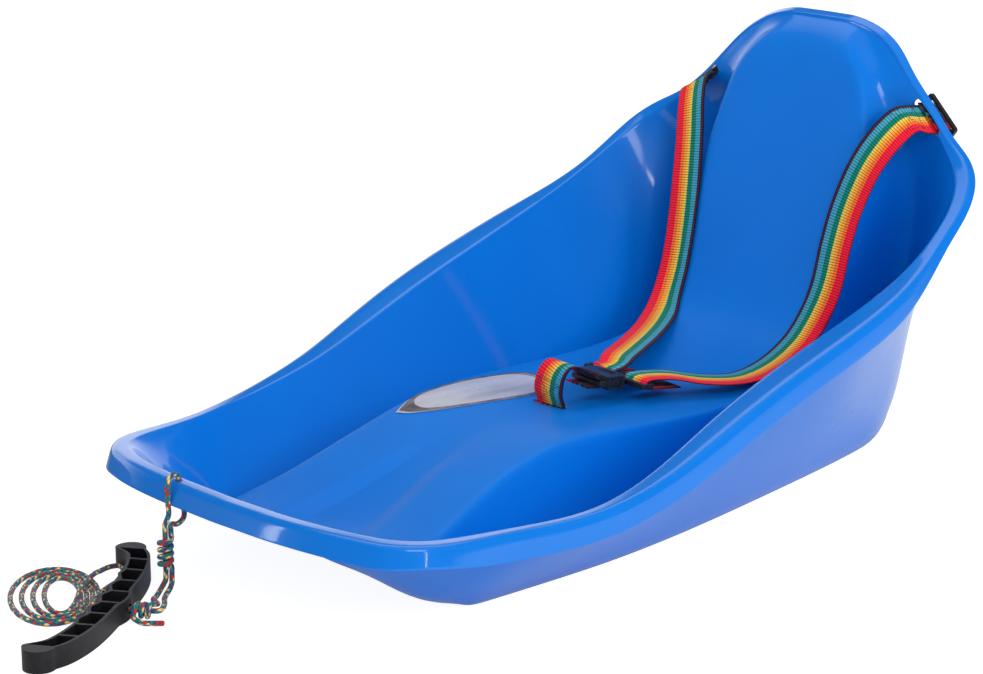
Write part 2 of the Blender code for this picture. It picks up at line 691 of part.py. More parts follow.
def bow(p):
    """The middle line of the grip: an arc whose ends curl back."""
    share = abs(p) / (HANDLE_LENGTH / 2)
    curl = max(0.0, share - 0.80) / 0.20
    return HANDLE_BOW * (1 - share ** 3.5) - HANDLE_CURL * curl ** 2


def outer_side(p):
    hub = max(0.0, 1 - (p / HUB_HALF) ** 2)
    return bow(p) + HANDLE_GRIP / 2 + HUB_BUMP * hub


def inner_side(p):
    fingers = FINGER_DEPTH * cos(2 * pi * p / FINGER_PITCH) if abs(p) < 2.2 * FINGER_PITCH else 0.0
    return bow(p) - HANDLE_GRIP / 2 - fingers


def make_handle(place):
    half = HANDLE_LENGTH / 2 - HANDLE_GRIP / 2
    stops = [half * (2 * k / 44 - 1) for k in range(45)]
    outline = [Vector((p, outer_side(p), 0)) for p in stops]
    outline += end_cap(half, 1)
    outline += [Vector((p, inner_side(p), 0)) for p in reversed(stops)]
    outline += end_cap(-half, -1)
    mesh = bmesh.new()
    low = [mesh.verts.new(place @ p) for p in outline]
    high = [mesh.verts.new(place @ (p + UP * HANDLE_HEIGHT)) for p in outline]
    count = len(outline)
    mesh.faces.new(low)
    mesh.faces.new(high)
    for k in range(count):
        j = (k + 1) % count
        mesh.faces.new((low[k], low[j], high[j], high[k]))
    handle = object_from("tow_handle", mesh, GRIP)
    pockets = bmesh.new()
    pitch = 2 * half / HANDLE_BAYS
    for b in range(HANDLE_BAYS):
        start = -half + b * pitch + HANDLE_WALL / 2
        stop = start + pitch - HANDLE_WALL
        line = [lerp(start, stop, k / 3) for k in range(4)]
        loop = [Vector((p, outer_side(p) - HANDLE_WALL, 0)) for p in line]
        loop += [Vector((p, inner_side(p) + HANDLE_WALL, 0)) for p in reversed(line)]
        floor = HANDLE_WALL * UP
        roof = HANDLE_HEIGHT * 1.5 * UP
        low = [pockets.verts.new(place @ (p + floor)) for p in loop]
        high = [pockets.verts.new(place @ (p + roof)) for p in loop]
        pockets.faces.new(low)
        pockets.faces.new(high)
        for k in range(len(loop)):
            j = (k + 1) % len(loop)
            pockets.faces.new((low[k], low[j], high[j], high[k]))
    cut(handle, cutter("handle_pockets", pockets))
    bore = bmesh.new()
    made = bmesh.ops.create_cone(bore, cap_ends=True, segments=16, radius1=HANDLE_BORE / 2,
                                 radius2=HANDLE_BORE / 2, depth=HANDLE_GRIP * 4)["verts"]
    turn = Matrix.Rotation(radians(90), 4, "X")
    bmesh.ops.transform(bore, matrix=place @ Matrix.Translation((0, HANDLE_BOW, HUB_BORE_Z)) @ turn,
                        verts=made)
    cut(handle, cutter("handle_bore", bore))


def end_cap(p, side):
    """Points of the rounded end between the two sides of the grip."""
    top = Vector((p, outer_side(p), 0))
    bottom = Vector((p, inner_side(p), 0))
    first, last = (top, bottom) if side > 0 else (bottom, top)
    centre = (top + bottom) / 2
    radius = (top - bottom).length / 2
    turn = atan2((first - centre).y, (first - centre).x)
    return [centre + Vector((cos(turn - pi * k / 6), sin(turn - pi * k / 6), 0)) * radius
            for k in range(1, 6)]


# Rope: two lengths that start in the hole in the rim.  The inner one is wound round the outer
# one as the knot, and the outer one round the inner one at the handle

KNOT_TOP = (4, -18, 51)
KNOT_BOTTOM = (4.5, -19, 10)
WIND_RADIUS = ROPE + 0.0005
KNOT_PITCH = 0.0056
KNOT_BEND = 0.0045
HITCH_PITCH = 0.0050
HITCH_START = 0.0165
LIE = ROPE / 2 + PLAY_Z
TUBE_STEP = ROPE * 2.2
LOOP_POINTS = 24


def tube(name, points, resolution=2):
    """Rope as a round tube through its points, its ends filled."""
    data = bpy.data.curves.new(name, "CURVE")
    data.dimensions = "3D"
    data.bevel_depth = ROPE / 2
    data.bevel_resolution = resolution
    data.use_fill_caps = True
    line = data.splines.new("POLY")
    line.points.add(len(points) - 1)
    for slot, p in zip(line.points, points):
        slot.co = (*p, 1)
    data.materials.append(material(CORD))
    bpy.context.scene.collection.objects.link(bpy.data.objects.new(name, data))


def rope_route(points, step):
    """Even points on a smooth curve, with its first and last runs straight as drawn."""
    return [points[0], *smooth_path(points[1:-1], step), points[-1]]


def shortened(points, start, finish):
    """The points with a gap taken off either end."""
    points = list(points)
    points[0] = points[0] + (points[1] - points[0]).normalized() * start
    points[-1] = points[-1] + (points[-2] - points[-1]).normalized() * finish
    return points


def winding(top, axis, side, turns, pitch, bend, straight):
    """A strand that comes down beside an axis, winds round it and goes on beside it."""
    other = axis.cross(side)
    slope = atan2(pitch, 2 * pi * WIND_RADIUS)
    sweep = pi / 2 - slope
    steps = 4
    flat = [Vector((0, 0)), Vector((0, straight))]
    centre = Vector((bend, straight))
    for k in range(1, steps + 1):
        angle = pi - sweep * k / steps
        flat.append(centre + Vector((cos(angle), sin(angle))) * bend)
    count = round(turns * LOOP_POINTS)
    begin = flat[-1]
    for k in range(1, count + 1):
        t = k / count
        flat.append(begin + Vector((2 * pi * WIND_RADIUS * turns * t, pitch * turns * t)))
    last = flat[-1]
    centre = last + Vector((-sin(slope), cos(slope))) * bend
    for k in range(1, steps + 1):
        angle = -pi / 2 + slope + sweep * k / steps
        flat.append(centre + Vector((cos(angle), sin(angle))) * bend)
    flat.append(flat[-1] + Vector((0, straight)))
    points = []
    for around, down in flat:
        angle = around / WIND_RADIUS
        points.append(top + axis * down + (side * cos(angle) + other * sin(angle)) * WIND_RADIUS)
    return points


def least_self_gap(points, apart):
    """The least gap between stretches of one rope that lie further apart along it."""
    least = 1.0
    run = [0.0]
    for a, b in zip(points, points[1:]):
        run.append(run[-1] + (b - a).length)
    for i, a in enumerate(points):
        for j in range(i + 1, len(points)):
            if run[j] - run[i] > apart:
                least = min(least, (a - points[j]).length)
    return least - ROPE


COIL_MIDDLE = (-44.5, -91.5)
COIL_LONG = 0.062
COIL_SHORT = 0.0365
COIL_STEP = 0.0063
COIL_START = radians(-40)
COIL_RUN = Vector((-0.81, 0.59, 0))
COIL_CROSS = Vector((0.59, 0.81, 0))


def coil_points():
    """A flat oval spiral that opens outwards, its ends straight for one diameter."""
    middle = by_hole(*COIL_MIDDLE, 0) + UP * LIE
    points = []
    for k in range(COIL_TURNS * LOOP_POINTS + 1):
        t = k / LOOP_POINTS
        angle = COIL_START - 2 * pi * t
        shrink = COIL_STEP * (COIL_TURNS - t)
        points.append(middle + COIL_CROSS * cos(angle) * (COIL_SHORT - shrink)
                      + COIL_RUN * sin(angle) * (COIL_LONG - shrink))
    first = (points[0] - points[1]).normalized()
    last = (points[-1] - points[-2]).normalized()
    return [points[0] + first * ROPE, *points, points[-1] + last * ROPE]


def make_rope(rim, handle):
    """rim is the middle of the hole, handle the grip's frame."""

    def by_grip(p, q, z):
        return handle @ Vector((p * MM, q * MM, z * MM - PLAY_Z))

    seam = CLEARANCE / 2
    lie = LIE * 1000
    over = lie + ROPE * 1000 + 0.9
    top = by_hole(*KNOT_TOP)
    axis = (by_hole(*KNOT_BOTTOM) - top).normalized()
    side = Vector((0.30, 0.95, 0))
    side = (side - axis * side.dot(axis)).normalized()
    wound = winding(top, axis, side, KNOT_TURNS - 0.15, KNOT_PITCH, KNOT_BEND, ROPE)
    print("least gap of the knot to itself, mm: %.2f" % (least_self_gap(wound, ROPE * 3) * 1000))
    depth = (wound[-1] - top).dot(axis)

    hub = handle @ Vector((0, outer_side(0), HUB_BORE_Z - PLAY_Z))
    hitch_top = hub + HANDLE_OUT * HITCH_START
    hitch = []
    count = round(HITCH_TURNS * LOOP_POINTS)
    for k in range(count + 1):
        angle = radians(115) - 2 * pi * k / LOOP_POINTS
        centre = hitch_top - HANDLE_OUT * HITCH_PITCH * k / LOOP_POINTS
        hitch.append(centre + (HANDLE_RUN * cos(angle) + UP * sin(angle)) * WIND_RADIUS)
    first = (hitch[0] - hitch[1]).normalized()
    last = (hitch[-1] - hitch[-2]).normalized()
    hitch = [hitch[0] + first * ROPE, *hitch, hitch[-1] + last * ROPE]
    print("least gap of the hitch to itself, mm: %.2f" % (least_self_gap(hitch, ROPE * 3) * 1000))

    q_hub = (outer_side(0) + HITCH_START) * 1000
    outer = [rim + UP * seam, rim + UP * 0.0045, rim + Vector((0.0005, -0.0025, 0.0072)),
             rim + Vector((0.0015, -0.0075, 0.0078)), rim + Vector((0.002, -0.0118, 0.0040)),
             rim + Vector((0.002, -0.0130, -0.004)), rim + Vector((0.0025, -0.0132, -0.013)),
             rim + Vector((0.004, -0.0140, -0.022)), top - axis * 0.004, top,
             top + axis * depth * 0.5, top + axis * depth,
             top + axis * (depth + 0.003) + Vector((0.0006, -0.0016, 0)),
             by_grip(-50, 42.5, 6), by_grip(-36, 43.5, 5.5), by_grip(-22, 45.5, 8),
             hitch[0] + first * 0.006, hitch[0]]
    tube("rope_outer_leg", shortened(rope_route(outer, TUBE_STEP * 0.5), 0, seam))
    tube("rope_hitch", shortened(hitch, seam, seam), resolution=1)
    loose = [hitch[-1], hitch[-1] + last * 0.002, by_grip(9.6, q_hub - 8.5, 3.4),
             by_grip(11.6, q_hub - 3, LIE * 1000), by_grip(11.0, q_hub + 4, LIE * 1000),
             by_grip(9.6, q_hub + 10, LIE * 1000), by_grip(9.0, q_hub + 13, LIE * 1000)]
    tube("rope_loose_end", shortened(rope_route(loose, TUBE_STEP * 0.4), seam, 0))

    inner = [rim - UP * seam, rim - UP * 0.006, rim + Vector((0.001, 0.0003, -0.013)),
             rim + Vector((0.0045, 0.0005, -0.021)), rim + Vector((0.0070, -0.0020, -0.0265)),
             rim + Vector((0.0060, -0.0075, -0.0305)), wound[0] - axis * 0.004, wound[0]]
    tube("rope_inner_leg", shortened(rope_route(inner, TUBE_STEP * 0.4), 0, seam))
    tube("rope_knot", shortened(wound, seam, seam), resolution=1)

    coil = coil_points()
    print("least gap of the coil to itself, mm: %.2f" % (least_self_gap(coil, ROPE * 3) * 1000))
    into = (coil[1] - coil[0]).normalized()
    lead = [wound[-1], wound[-1] + axis * 0.004, by_grip(-51, 49.5, 6.6), by_grip(-36, 50.0, 5),
            by_grip(-20, 55, 6.5), by_grip(-9, q_hub + 6.5, 8), by_grip(-2.4, q_hub + 6.5, 8),
            by_grip(0, q_hub + 3, 8), by_grip(0, q_hub - 4, 8), by_grip(0, 30, 8),
            by_grip(0, 14, 8), by_grip(-1.5, 7, over + 1.0), by_grip(-9, 2.5, over + 0.8),
            by_grip(-24, 1.5, over + 0.2), by_grip(-40, 2.5, over - 0.2), by_grip(-58, 3, lie + 2.5), by_grip(-76, 1, lie + 0.4), by_grip(-92, -2.0, lie + 0.1),
            by_grip(-100.5, -8, lie + 0.1), by_grip(-94, -14.5, lie + 0.7), by_grip(-80, -16, over - 2.2),
            by_grip(-66, -17, over), by_grip(-48, -17.5, over + 0.1), by_grip(-32, -17, over - 0.2),
            coil[0] - into * 0.018 + UP * (ROPE + 0.001), coil[0] - into * 0.010 + UP * ROPE * 0.52,
            coil[0] - into * 0.004, coil[0]]
    tube("rope_lead", shortened(rope_route(lead, TUBE_STEP * 0.7), seam, seam))
    tube("rope_coil", shortened(coil, seam, seam), resolution=1)
    out = (coil[-1] - coil[-2]).normalized()
    ending = [coil[-1], coil[-1] + out * 0.006]
    ending += [by_hole(x, y, 0) + UP * LIE for x, y in ((23, -110), (28.5, -120), (29, -130))]
    tube("rope_end", shortened(rope_route(ending, TUBE_STEP * 0.6), seam, 0))
    print("rope lengths, m: outer %.3f hitch %.3f inner %.3f knot %.3f lead %.3f coil %.3f end %.3f" % (
        length_of(smooth_path(outer, 0.003)), length_of(hitch), length_of(smooth_path(inner, 0.003)),
        length_of(wound), length_of(smooth_path(lead, 0.003)), length_of(coil),
        length_of(smooth_path(ending, 0.003))))


def main():
    for old in list(bpy.data.objects):
        bpy.data.objects.remove(old)

    tub = make_tub()
    tree = surface_tree(tub)
    thicken(tub)
    wall_tree = surface_tree(tub)
    anchors = {}
    for side, word in ((1, "left"), (-1, "right")):
        x, y, z = SHOULDER_SLOT
        slot, run, normal = slot_frame(tree, at(side * x, y, z), SHOULDER_SLOT_RUN, side)
        cut(tub, slot_tool("shoulder_slot_" + word, slot, run, normal, WEB_WIDTH + 2 * SLOT_PLAY,
                           WEB_THICKNESS * 2 + SLOT_PLAY, THROUGH))
        bar = seat_behind(wall_tree, slot, run, normal)
        print("stopper depth behind the slot, mm: %.2f" % ((slot - bar).length * 1000))
        glide("strap_stopper_" + word, bar, run, normal)
        anchors["shoulder_strap_" + word] = (slot, run, normal, bar)
    slot, run, normal = slot_frame(tree, at(0, CROTCH_SLOT[1], CROTCH_SLOT[2]), Vector((1, 0, 0)), 1)
    cut(tub, slot_tool("crotch_slot", slot, run, normal, WEB_WIDTH + 2 * SLOT_PLAY,
                       WEB_THICKNESS * 2 + SLOT_PLAY, THROUGH))
    bar = seat_behind(wall_tree, slot, run, normal)
    print("stopper depth behind the slot, mm: %.2f" % ((slot - bar).length * 1000))
    glide("strap_stopper_floor", bar, run, normal)
    anchors["crotch_strap"] = (slot, run, normal, bar)

    hole = bmesh.new()
    bmesh.ops.create_cone(hole, cap_ends=True, segments=16, radius1=ROPE_HOLE / 2,
                          radius2=ROPE_HOLE / 2, depth=THROUGH)
    x, y = ROPE_HOLE_AT
    rim = surface_under(tree, Vector((at(x, y, 0).x, at(x, y, 0).y, SLED_HEIGHT)), -UP)[0]
    bmesh.ops.translate(hole, vec=rim, verts=hole.verts)
    cut(tub, cutter("rope_hole", hole))

    buckle = buckle_frame()
    make_buckle(buckle)
    make_straps(tree, buckle, anchors)
    make_label(tree)
    handle = handle_frame()
    make_handle(handle)
    make_rope(rim - UP * WALL / 2, handle)


main()
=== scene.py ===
"""The looks of a toddler's plastic pull sled: its moulded tub, striped harness with a side release
buckle, braided tow rope and bow shaped handle.

Metres, +Z up.  The front faces -Y and the rider's left is +X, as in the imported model.
"""
from math import atan2, cos, hypot, pi, radians, sin

import bmesh
import bpy
from mathutils import Matrix, Vector
from mathutils.bvhtree import BVHTree


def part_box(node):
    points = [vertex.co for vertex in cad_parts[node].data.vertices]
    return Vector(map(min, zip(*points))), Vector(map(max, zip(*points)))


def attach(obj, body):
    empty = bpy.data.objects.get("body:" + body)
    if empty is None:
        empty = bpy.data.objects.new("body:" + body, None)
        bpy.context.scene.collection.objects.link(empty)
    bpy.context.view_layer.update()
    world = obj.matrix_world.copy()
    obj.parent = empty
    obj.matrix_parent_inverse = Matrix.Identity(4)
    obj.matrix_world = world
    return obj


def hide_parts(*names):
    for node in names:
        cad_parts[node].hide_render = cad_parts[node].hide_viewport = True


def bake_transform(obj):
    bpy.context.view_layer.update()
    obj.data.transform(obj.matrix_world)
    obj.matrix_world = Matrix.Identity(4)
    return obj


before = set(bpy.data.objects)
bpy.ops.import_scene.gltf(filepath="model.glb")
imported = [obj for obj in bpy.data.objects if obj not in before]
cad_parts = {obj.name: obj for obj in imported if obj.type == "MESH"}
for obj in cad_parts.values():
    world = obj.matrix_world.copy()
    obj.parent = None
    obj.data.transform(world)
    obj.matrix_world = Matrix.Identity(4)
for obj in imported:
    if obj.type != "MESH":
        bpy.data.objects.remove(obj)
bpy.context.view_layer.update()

MM = 0.001
UP = Vector((0, 0, 1))

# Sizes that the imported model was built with
ORIGIN_Y = 260
WALL = 0.003
SKIRT_FLARE = 0.0035
CLEARANCE = 0.0003
WEB_WIDTH = 0.032
WEB_THICKNESS = 0.0016
WEB_PLAY = 0.0012
SLOT_PLAY = 0.0024
LAYER_GAP = 0.0007
GLIDE_BAR = 0.0035
GLIDE_THICKNESS = 0.0036
BUCKLE_WALL = 0.0022
BUCKLE_THICKNESS = 0.0110
BUCKLE_LENGTH = 0.030
PLUG_PLATE = 0.0040
ROPE = 0.0042
ROPE_HOLE = 0.0058
KNOT_TURNS = 4
HITCH_TURNS = 2.25
COIL_TURNS = 4
HANDLE_LENGTH = 0.226
HANDLE_GRIP = 0.019
HANDLE_HEIGHT = 0.017
HANDLE_WALL = 0.0026
HANDLE_BOW = 0.0215
HANDLE_BORE = 0.0080

# Camera and stage
LENS = 102.54
SENSOR = 36.0
CAMERA_AT = Vector((1.5535, -1.5322, 0.7809))
CAMERA_AHEAD = Vector((-0.681, 0.679, -0.275))
ROOM_SIDES = 0.90
ROOM_ABOVE = 0.42
FLOOR_SIZE = 12
FLOOR_DROP = 0.0005
# The floor's colour in its own light, where reflections find it unlit, and as the camera sees it
FLOOR_WHITE = (0.9, 0.9, 0.9)
FLOOR_UNLIT = (0.04, 0.04, 0.04)
FLOOR_GREY = (0.34, 0.34, 0.34)
FLOOR_SEEN = 0.92
FLOOR_MIRRORED = 0.15
# What the plastic reflects: the room is dark but for these parts of its walls, each with its
# direction, how near to it the white starts and is full, its lowest and highest sky and its strength
ROOM_DARK = 0.03
WHITE_WALLS = (
    ((-0.707, 0.707, 0), 0.20, 0.60, -1.0, 0.40, 1.5),
    ((0, 0, 1), 0.70, 0.95, -1.0, 2.0, 0.5),
)


def at(x, y, z):
    """A point drawn in millimetres from the front edge of the tub."""
    return Vector((x * MM, (y - ORIGIN_Y) * MM, z * MM))


def lerp(a, b, t):
    return a + (b - a) * t


# Working with objects

def deselect():
    for chosen in list(bpy.context.selected_objects):
        chosen.select_set(False)


def pick(piece):
    """Make a piece the only selected and the active one."""
    deselect()
    piece.select_set(True)
    bpy.context.view_layer.objects.active = piece
    return piece


def added(name):
    """Name the primitive that was just added."""
    piece = bpy.context.object
    piece.name = name
    piece.data.name = name
    return piece


def block(name, size, centre=(0, 0, 0)):
    """A box of a size at a place, with its place in its mesh."""
    deselect()
    bpy.ops.mesh.primitive_cube_add(size=1, location=centre)
    piece = added(name)
    piece.scale = size
    bpy.ops.object.transform_apply(location=True, rotation=False, scale=True)
    return piece


def rod(name, radius, depth, centre=(0, 0, 0), turn=(0, 0, 0), sides=32):
    deselect()
    bpy.ops.mesh.primitive_cylinder_add(vertices=sides, radius=radius, depth=depth, location=centre,
                                        rotation=turn)
    piece = added(name)
    bpy.ops.object.transform_apply(location=True, rotation=True, scale=True)
    return piece


def apply_all(piece):
    pick(piece)
    for step in list(piece.modifiers):
        bpy.ops.object.modifier_apply(modifier=step.name)
    return piece


def bevelled(piece, width, segments=3, angle=30):
    step = piece.modifiers.new("bevel", "BEVEL")
    step.width = width
    step.segments = segments
    step.limit_method = "ANGLE"
    step.angle_limit = radians(angle)
    step.use_clamp_overlap = True
    return apply_all(piece)


def combined(piece, tool, operation="DIFFERENCE"):
    """Cut a tool out of a piece, or join it on, and drop the tool."""
    step = piece.modifiers.new("combine", "BOOLEAN")
    step.operation = operation
    step.solver = "MANIFOLD"
    step.object = tool
    apply_all(piece)
    bpy.data.objects.remove(tool)
    return piece


def rounded_off(piece, levels):
    step = piece.modifiers.new("rounding", "SUBSURF")
    step.levels = step.render_levels = levels
    return apply_all(piece)


def bevel_upright(piece, width, segments=5):
    """Round the upright edges of a block in edit mode."""
    pick(piece)
    bpy.ops.object.mode_set(mode="EDIT")
    bpy.ops.mesh.select_mode(type="EDGE")
    bpy.ops.mesh.select_all(action="DESELECT")
    shape = bmesh.from_edit_mesh(piece.data)
    for edge in shape.edges:
        edge.select = abs((edge.verts[0].co - edge.verts[1].co).normalized().z) > 0.9
    bmesh.update_edit_mesh(piece.data)
    bpy.ops.mesh.bevel(offset=width, segments=segments, affect="EDGES")
    bpy.ops.object.mode_set(mode="OBJECT")
    return piece


def placed(piece, place):
    piece.data.transform(place)
    return piece


def finished(piece, surface, body, slot, *nodes, angle=35):
    """Give a piece its material, its shading and its body."""
    if surface:
        piece.data.materials.clear()
        piece.data.materials.append(surface)
    pick(piece)
    bpy.ops.object.shade_smooth_by_angle(angle=radians(angle))
    if body:
        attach(piece, body)
    if nodes:
        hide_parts(*nodes)
    deselect()
    return piece


def axes(x_axis, y_axis, origin):
    """A placing matrix whose third axis is square to the two given."""
    x = x_axis.normalized()
    z = x.cross(y_axis).normalized()
    y = z.cross(x)
    return Matrix.Translation(origin) @ Matrix((x, y, z)).transposed().to_4x4()


# Curves

def smooth_path(points, step):
    """Evenly spaced points on a Catmull-Rom curve through the given ones."""
    points = [Vector(p) for p in points]
    ends = [points[0] * 2 - points[1]] + points + [points[-1] * 2 - points[-2]]
    fine = []
    for k in range(1, len(ends) - 2):
        a, b, c, d = ends[k - 1:k + 3]
        for i in range(16):
            t = i / 16
            fine.append(0.5 * (2 * b + (c - a) * t + (2 * a - 5 * b + 4 * c - d) * t * t
                               + (3 * b - a - 3 * c + d) * t ** 3))
    fine.append(points[-1])
    return even_points(fine, step)


def even_points(fine, step):
    run = [0.0]
    for a, b in zip(fine, fine[1:]):
        run.append(run[-1] + (b - a).length)
    count = max(2, round(run[-1] / step))
    even, k = [], 0
    for i in range(count + 1):
        s = run[-1] * i / count
        while k < len(run) - 2 and run[k + 1] < s:
            k += 1
        share = (s - run[k]) / max(run[k + 1] - run[k], 1e-9)
        even.append(fine[k].lerp(fine[k + 1], min(max(share, 0), 1)))
    return even


def length_of(points):
    return sum((b - a).length for a, b in zip(points, points[1:]))


# Materials

class Surface:
    """A node material, built with a few short calls."""

    def __init__(self, name, colour, roughness, **sockets):
        self.material = bpy.data.materials.new(name)
        self.material.use_nodes = True
        self.tree = self.material.node_tree
        self.shader = self.tree.nodes["Principled BSDF"]
        self.shader.inputs["Base Color"].default_value = (*colour, 1)
        self.shader.inputs["Roughness"].default_value = roughness
        for socket, value in sockets.items():
            self.shader.inputs[socket.replace("_", " ")].default_value = value

    def node(self, kind, **settings):
        made = self.tree.nodes.new("ShaderNode" + kind)
        for key, value in settings.items():
            setattr(made, key, value)
        return made

    def link(self, source, target):
        self.tree.links.new(source, target)

    def feed(self, socket, value):
        if isinstance(value, (int, float)):
            socket.default_value = value
        else:
            self.link(value, socket)

    def math(self, operation, a, b=0.0, c=0.0):
        made = self.node("Math", operation=operation)
        for socket, value in zip(made.inputs, (a, b, c)):
            self.feed(socket, value)
        return made.outputs[0]

    def place(self):
        return self.node("TexCoord").outputs["Object"]

    def uv(self):
        split = self.node("SeparateXYZ")
        self.link(self.node("TexCoord").outputs["UV"], split.inputs[0])
        return split.outputs[0], split.outputs[1]

    def noise(self, scale, detail=3.0, roughness=0.5, vector=None):
        made = self.node("TexNoise")
        made.inputs["Scale"].default_value = scale
        made.inputs["Detail"].default_value = detail
        made.inputs["Roughness"].default_value = roughness
        self.link(vector or self.place(), made.inputs["Vector"])
        return made.outputs["Fac"]

    def stretched(self, scale):
        made = self.node("Mapping")
        made.inputs["Scale"].default_value = scale
        self.link(self.place(), made.inputs["Vector"])
        return made.outputs[0]

    def ramp(self, factor, stops, kind="LINEAR"):
        made = self.node("ValToRGB")
        made.color_ramp.interpolation = kind
        steps = made.color_ramp.elements
        while len(steps) < len(stops):
            steps.new(0.5)
        for step, (position, colour) in zip(steps, stops):
            step.position = position
            step.color = (*colour, 1) if isinstance(colour, tuple) else (colour, colour, colour, 1)
        self.link(factor, made.inputs[0])
        return made.outputs[0]

    def mix(self, factor, a, b, blend="MIX"):
        made = self.node("Mix", data_type="RGBA", blend_type=blend)
        self.feed(made.inputs[0], factor)
        for socket, value in ((made.inputs[6], a), (made.inputs[7], b)):
            if isinstance(value, tuple):
                socket.default_value = (*value, 1)
            else:
                self.link(value, socket)
        return made.outputs[2]

    def colour(self, source):
        self.link(source, self.shader.inputs["Base Color"])

    def roughness(self, source):
        self.link(source, self.shader.inputs["Roughness"])

    def bump(self, height, distance, strength=1.0, under=None):
        made = self.node("Bump")
        made.inputs["Strength"].default_value = strength
        made.inputs["Distance"].default_value = distance
        self.link(height, made.inputs["Height"])
        if under:
            self.link(under, made.inputs["Normal"])
        self.link(made.outputs[0], self.shader.inputs["Normal"])
        return made.outputs[0]


GLOSS = 0.7


def moulded_blue():
    """Glossy moulded plastic, whose middle panel has a fine matt grain."""
    s = Surface("moulded_blue", (0.0, 0.19, 0.74), 0.2, Specular_IOR_Level=0.15, Coat_Roughness=0.07)
    panel = s.node("Attribute", attribute_name="panel").outputs["Fac"]
    cloud = s.noise(9.0, 2.0)
    s.colour(s.ramp(cloud, ((0.3, (0.0, 0.182, 0.72)), (0.7, (0.0, 0.198, 0.76)))))
    grain = s.noise(1400.0, 2.0, 0.6)
    smear = s.noise(55.0, 4.0, 0.6)
    gloss = s.math("MULTIPLY_ADD", smear, 0.12, 0.24)
    matt = s.math("MULTIPLY_ADD", grain, 0.14, 0.36)
    s.link(s.math("MULTIPLY_ADD", panel, -GLOSS, GLOSS), s.shader.inputs["Coat Weight"])
    both = s.node("Mix", data_type="FLOAT")
    s.link(panel, both.inputs[0])
    s.link(gloss, both.inputs[2])
    s.link(matt, both.inputs[3])
    s.roughness(both.outputs[0])
    peel = s.noise(130.0, 2.0)
    first = s.bump(peel, 0.00025, 0.18)
    fine = s.math("MULTIPLY", grain, panel)
    s.bump(fine, 0.00022, 0.5, under=first)
    return s.material


RAINBOW = ((0.0, (0.012, 0.010, 0.040)), (0.035, (0.13, 0.012, 0.035)), (0.065, (0.016, 0.012, 0.050)),
           (0.10, (0.060, 0.36, 0.50)), (0.27, (0.0, 0.23, 0.16)), (0.44, (0.90, 0.62, 0.08)),
           (0.53, (1.0, 0.40, 0.05)), (0.63, (1.0, 0.19, 0.03)), (0.74, (1.0, 0.012, 0.045)),
           (0.97, (0.66, 0.008, 0.025)))
# The reverse face of the webbing: its stripes darkened with painted shade
SHADED_RAINBOW_BACK = ((0.0, (0.012, 0.012, 0.04)), (0.16, (0.14, 0.012, 0.03)), (0.24, (0.016, 0.016, 0.06)),
                (0.36, (0.04, 0.18, 0.26)), (0.46, (0.014, 0.014, 0.055)), (0.56, (0.28, 0.03, 0.03)),
                (0.64, (0.020, 0.012, 0.05)), (0.74, (0.60, 0.014, 0.03)), (0.96, (0.10, 0.008, 0.02)))
RIB_PITCH = 0.0024
WARP_THREADS = 26


def striped_webbing(name, stripes):
    """Ribbed webbing: the stripes run along it, the ribs across."""
    s = Surface(name, (0.6, 0.1, 0.05), 0.9, Sheen_Weight=0.06, Sheen_Roughness=0.5,
                Specular_IOR_Level=0.2)
    along, across = s.uv()
    fuzz = s.noise(900.0, 2.0)
    wander = s.math("MULTIPLY_ADD", fuzz, 0.02, -0.01)
    tone = s.ramp(s.math("ADD", across, wander), stripes, "CONSTANT")
    rib = s.math("ABSOLUTE", s.math("SINE", s.math("MULTIPLY", along, pi / RIB_PITCH)))
    thread = s.math("ABSOLUTE", s.math("SINE", s.math("MULTIPLY", across, pi * WARP_THREADS)))
    height = s.math("MULTIPLY_ADD", thread, 0.35, s.math("POWER", rib, 0.6))
    # Painted shade in the grooves between the ribs and a painted highlight on their tops, with a little
    # random fuzz
    shade = s.ramp(s.math("MULTIPLY_ADD", fuzz, 0.25, rib), ((0.1, 0.28), (0.75, 0.92), (1.0, 1.2)))
    s.colour(s.mix(1.0, tone, shade, "MULTIPLY"))
    s.bump(height, 0.00045, 0.75)
    return s.material


def black_nylon():
    s = Surface("black_nylon", (0.014, 0.014, 0.017), 0.32)
    grain = s.noise(1500.0, 2.0)
    scuff = s.noise(160.0, 4.0, 0.7, s.stretched((1, 4, 1)))
    s.colour(s.ramp(scuff, ((0.35, (0.010, 0.010, 0.012)), (0.75, (0.030, 0.030, 0.034)))))
    s.roughness(s.math("MULTIPLY_ADD", scuff, 0.25, 0.18))
    s.bump(grain, 0.0001, 0.35)
    return s.material


def handle_plastic():
    s = Surface("handle_plastic", (0.012, 0.012, 0.014), 0.5, Specular_IOR_Level=0.35)
    grain = s.noise(1100.0, 3.0, 0.65)
    dust = s.noise(70.0, 4.0, 0.65)
    s.colour(s.ramp(dust, ((0.3, (0.006, 0.006, 0.008)), (0.75, (0.018, 0.018, 0.022)))))
    s.roughness(s.math("MULTIPLY_ADD", grain, 0.25, 0.34))
    s.bump(grain, 0.00015, 0.45)
    return s.material


BRAID_PITCH = 0.0190
BRAID_STRANDS = 4
FLECK_REPEAT = 8.0


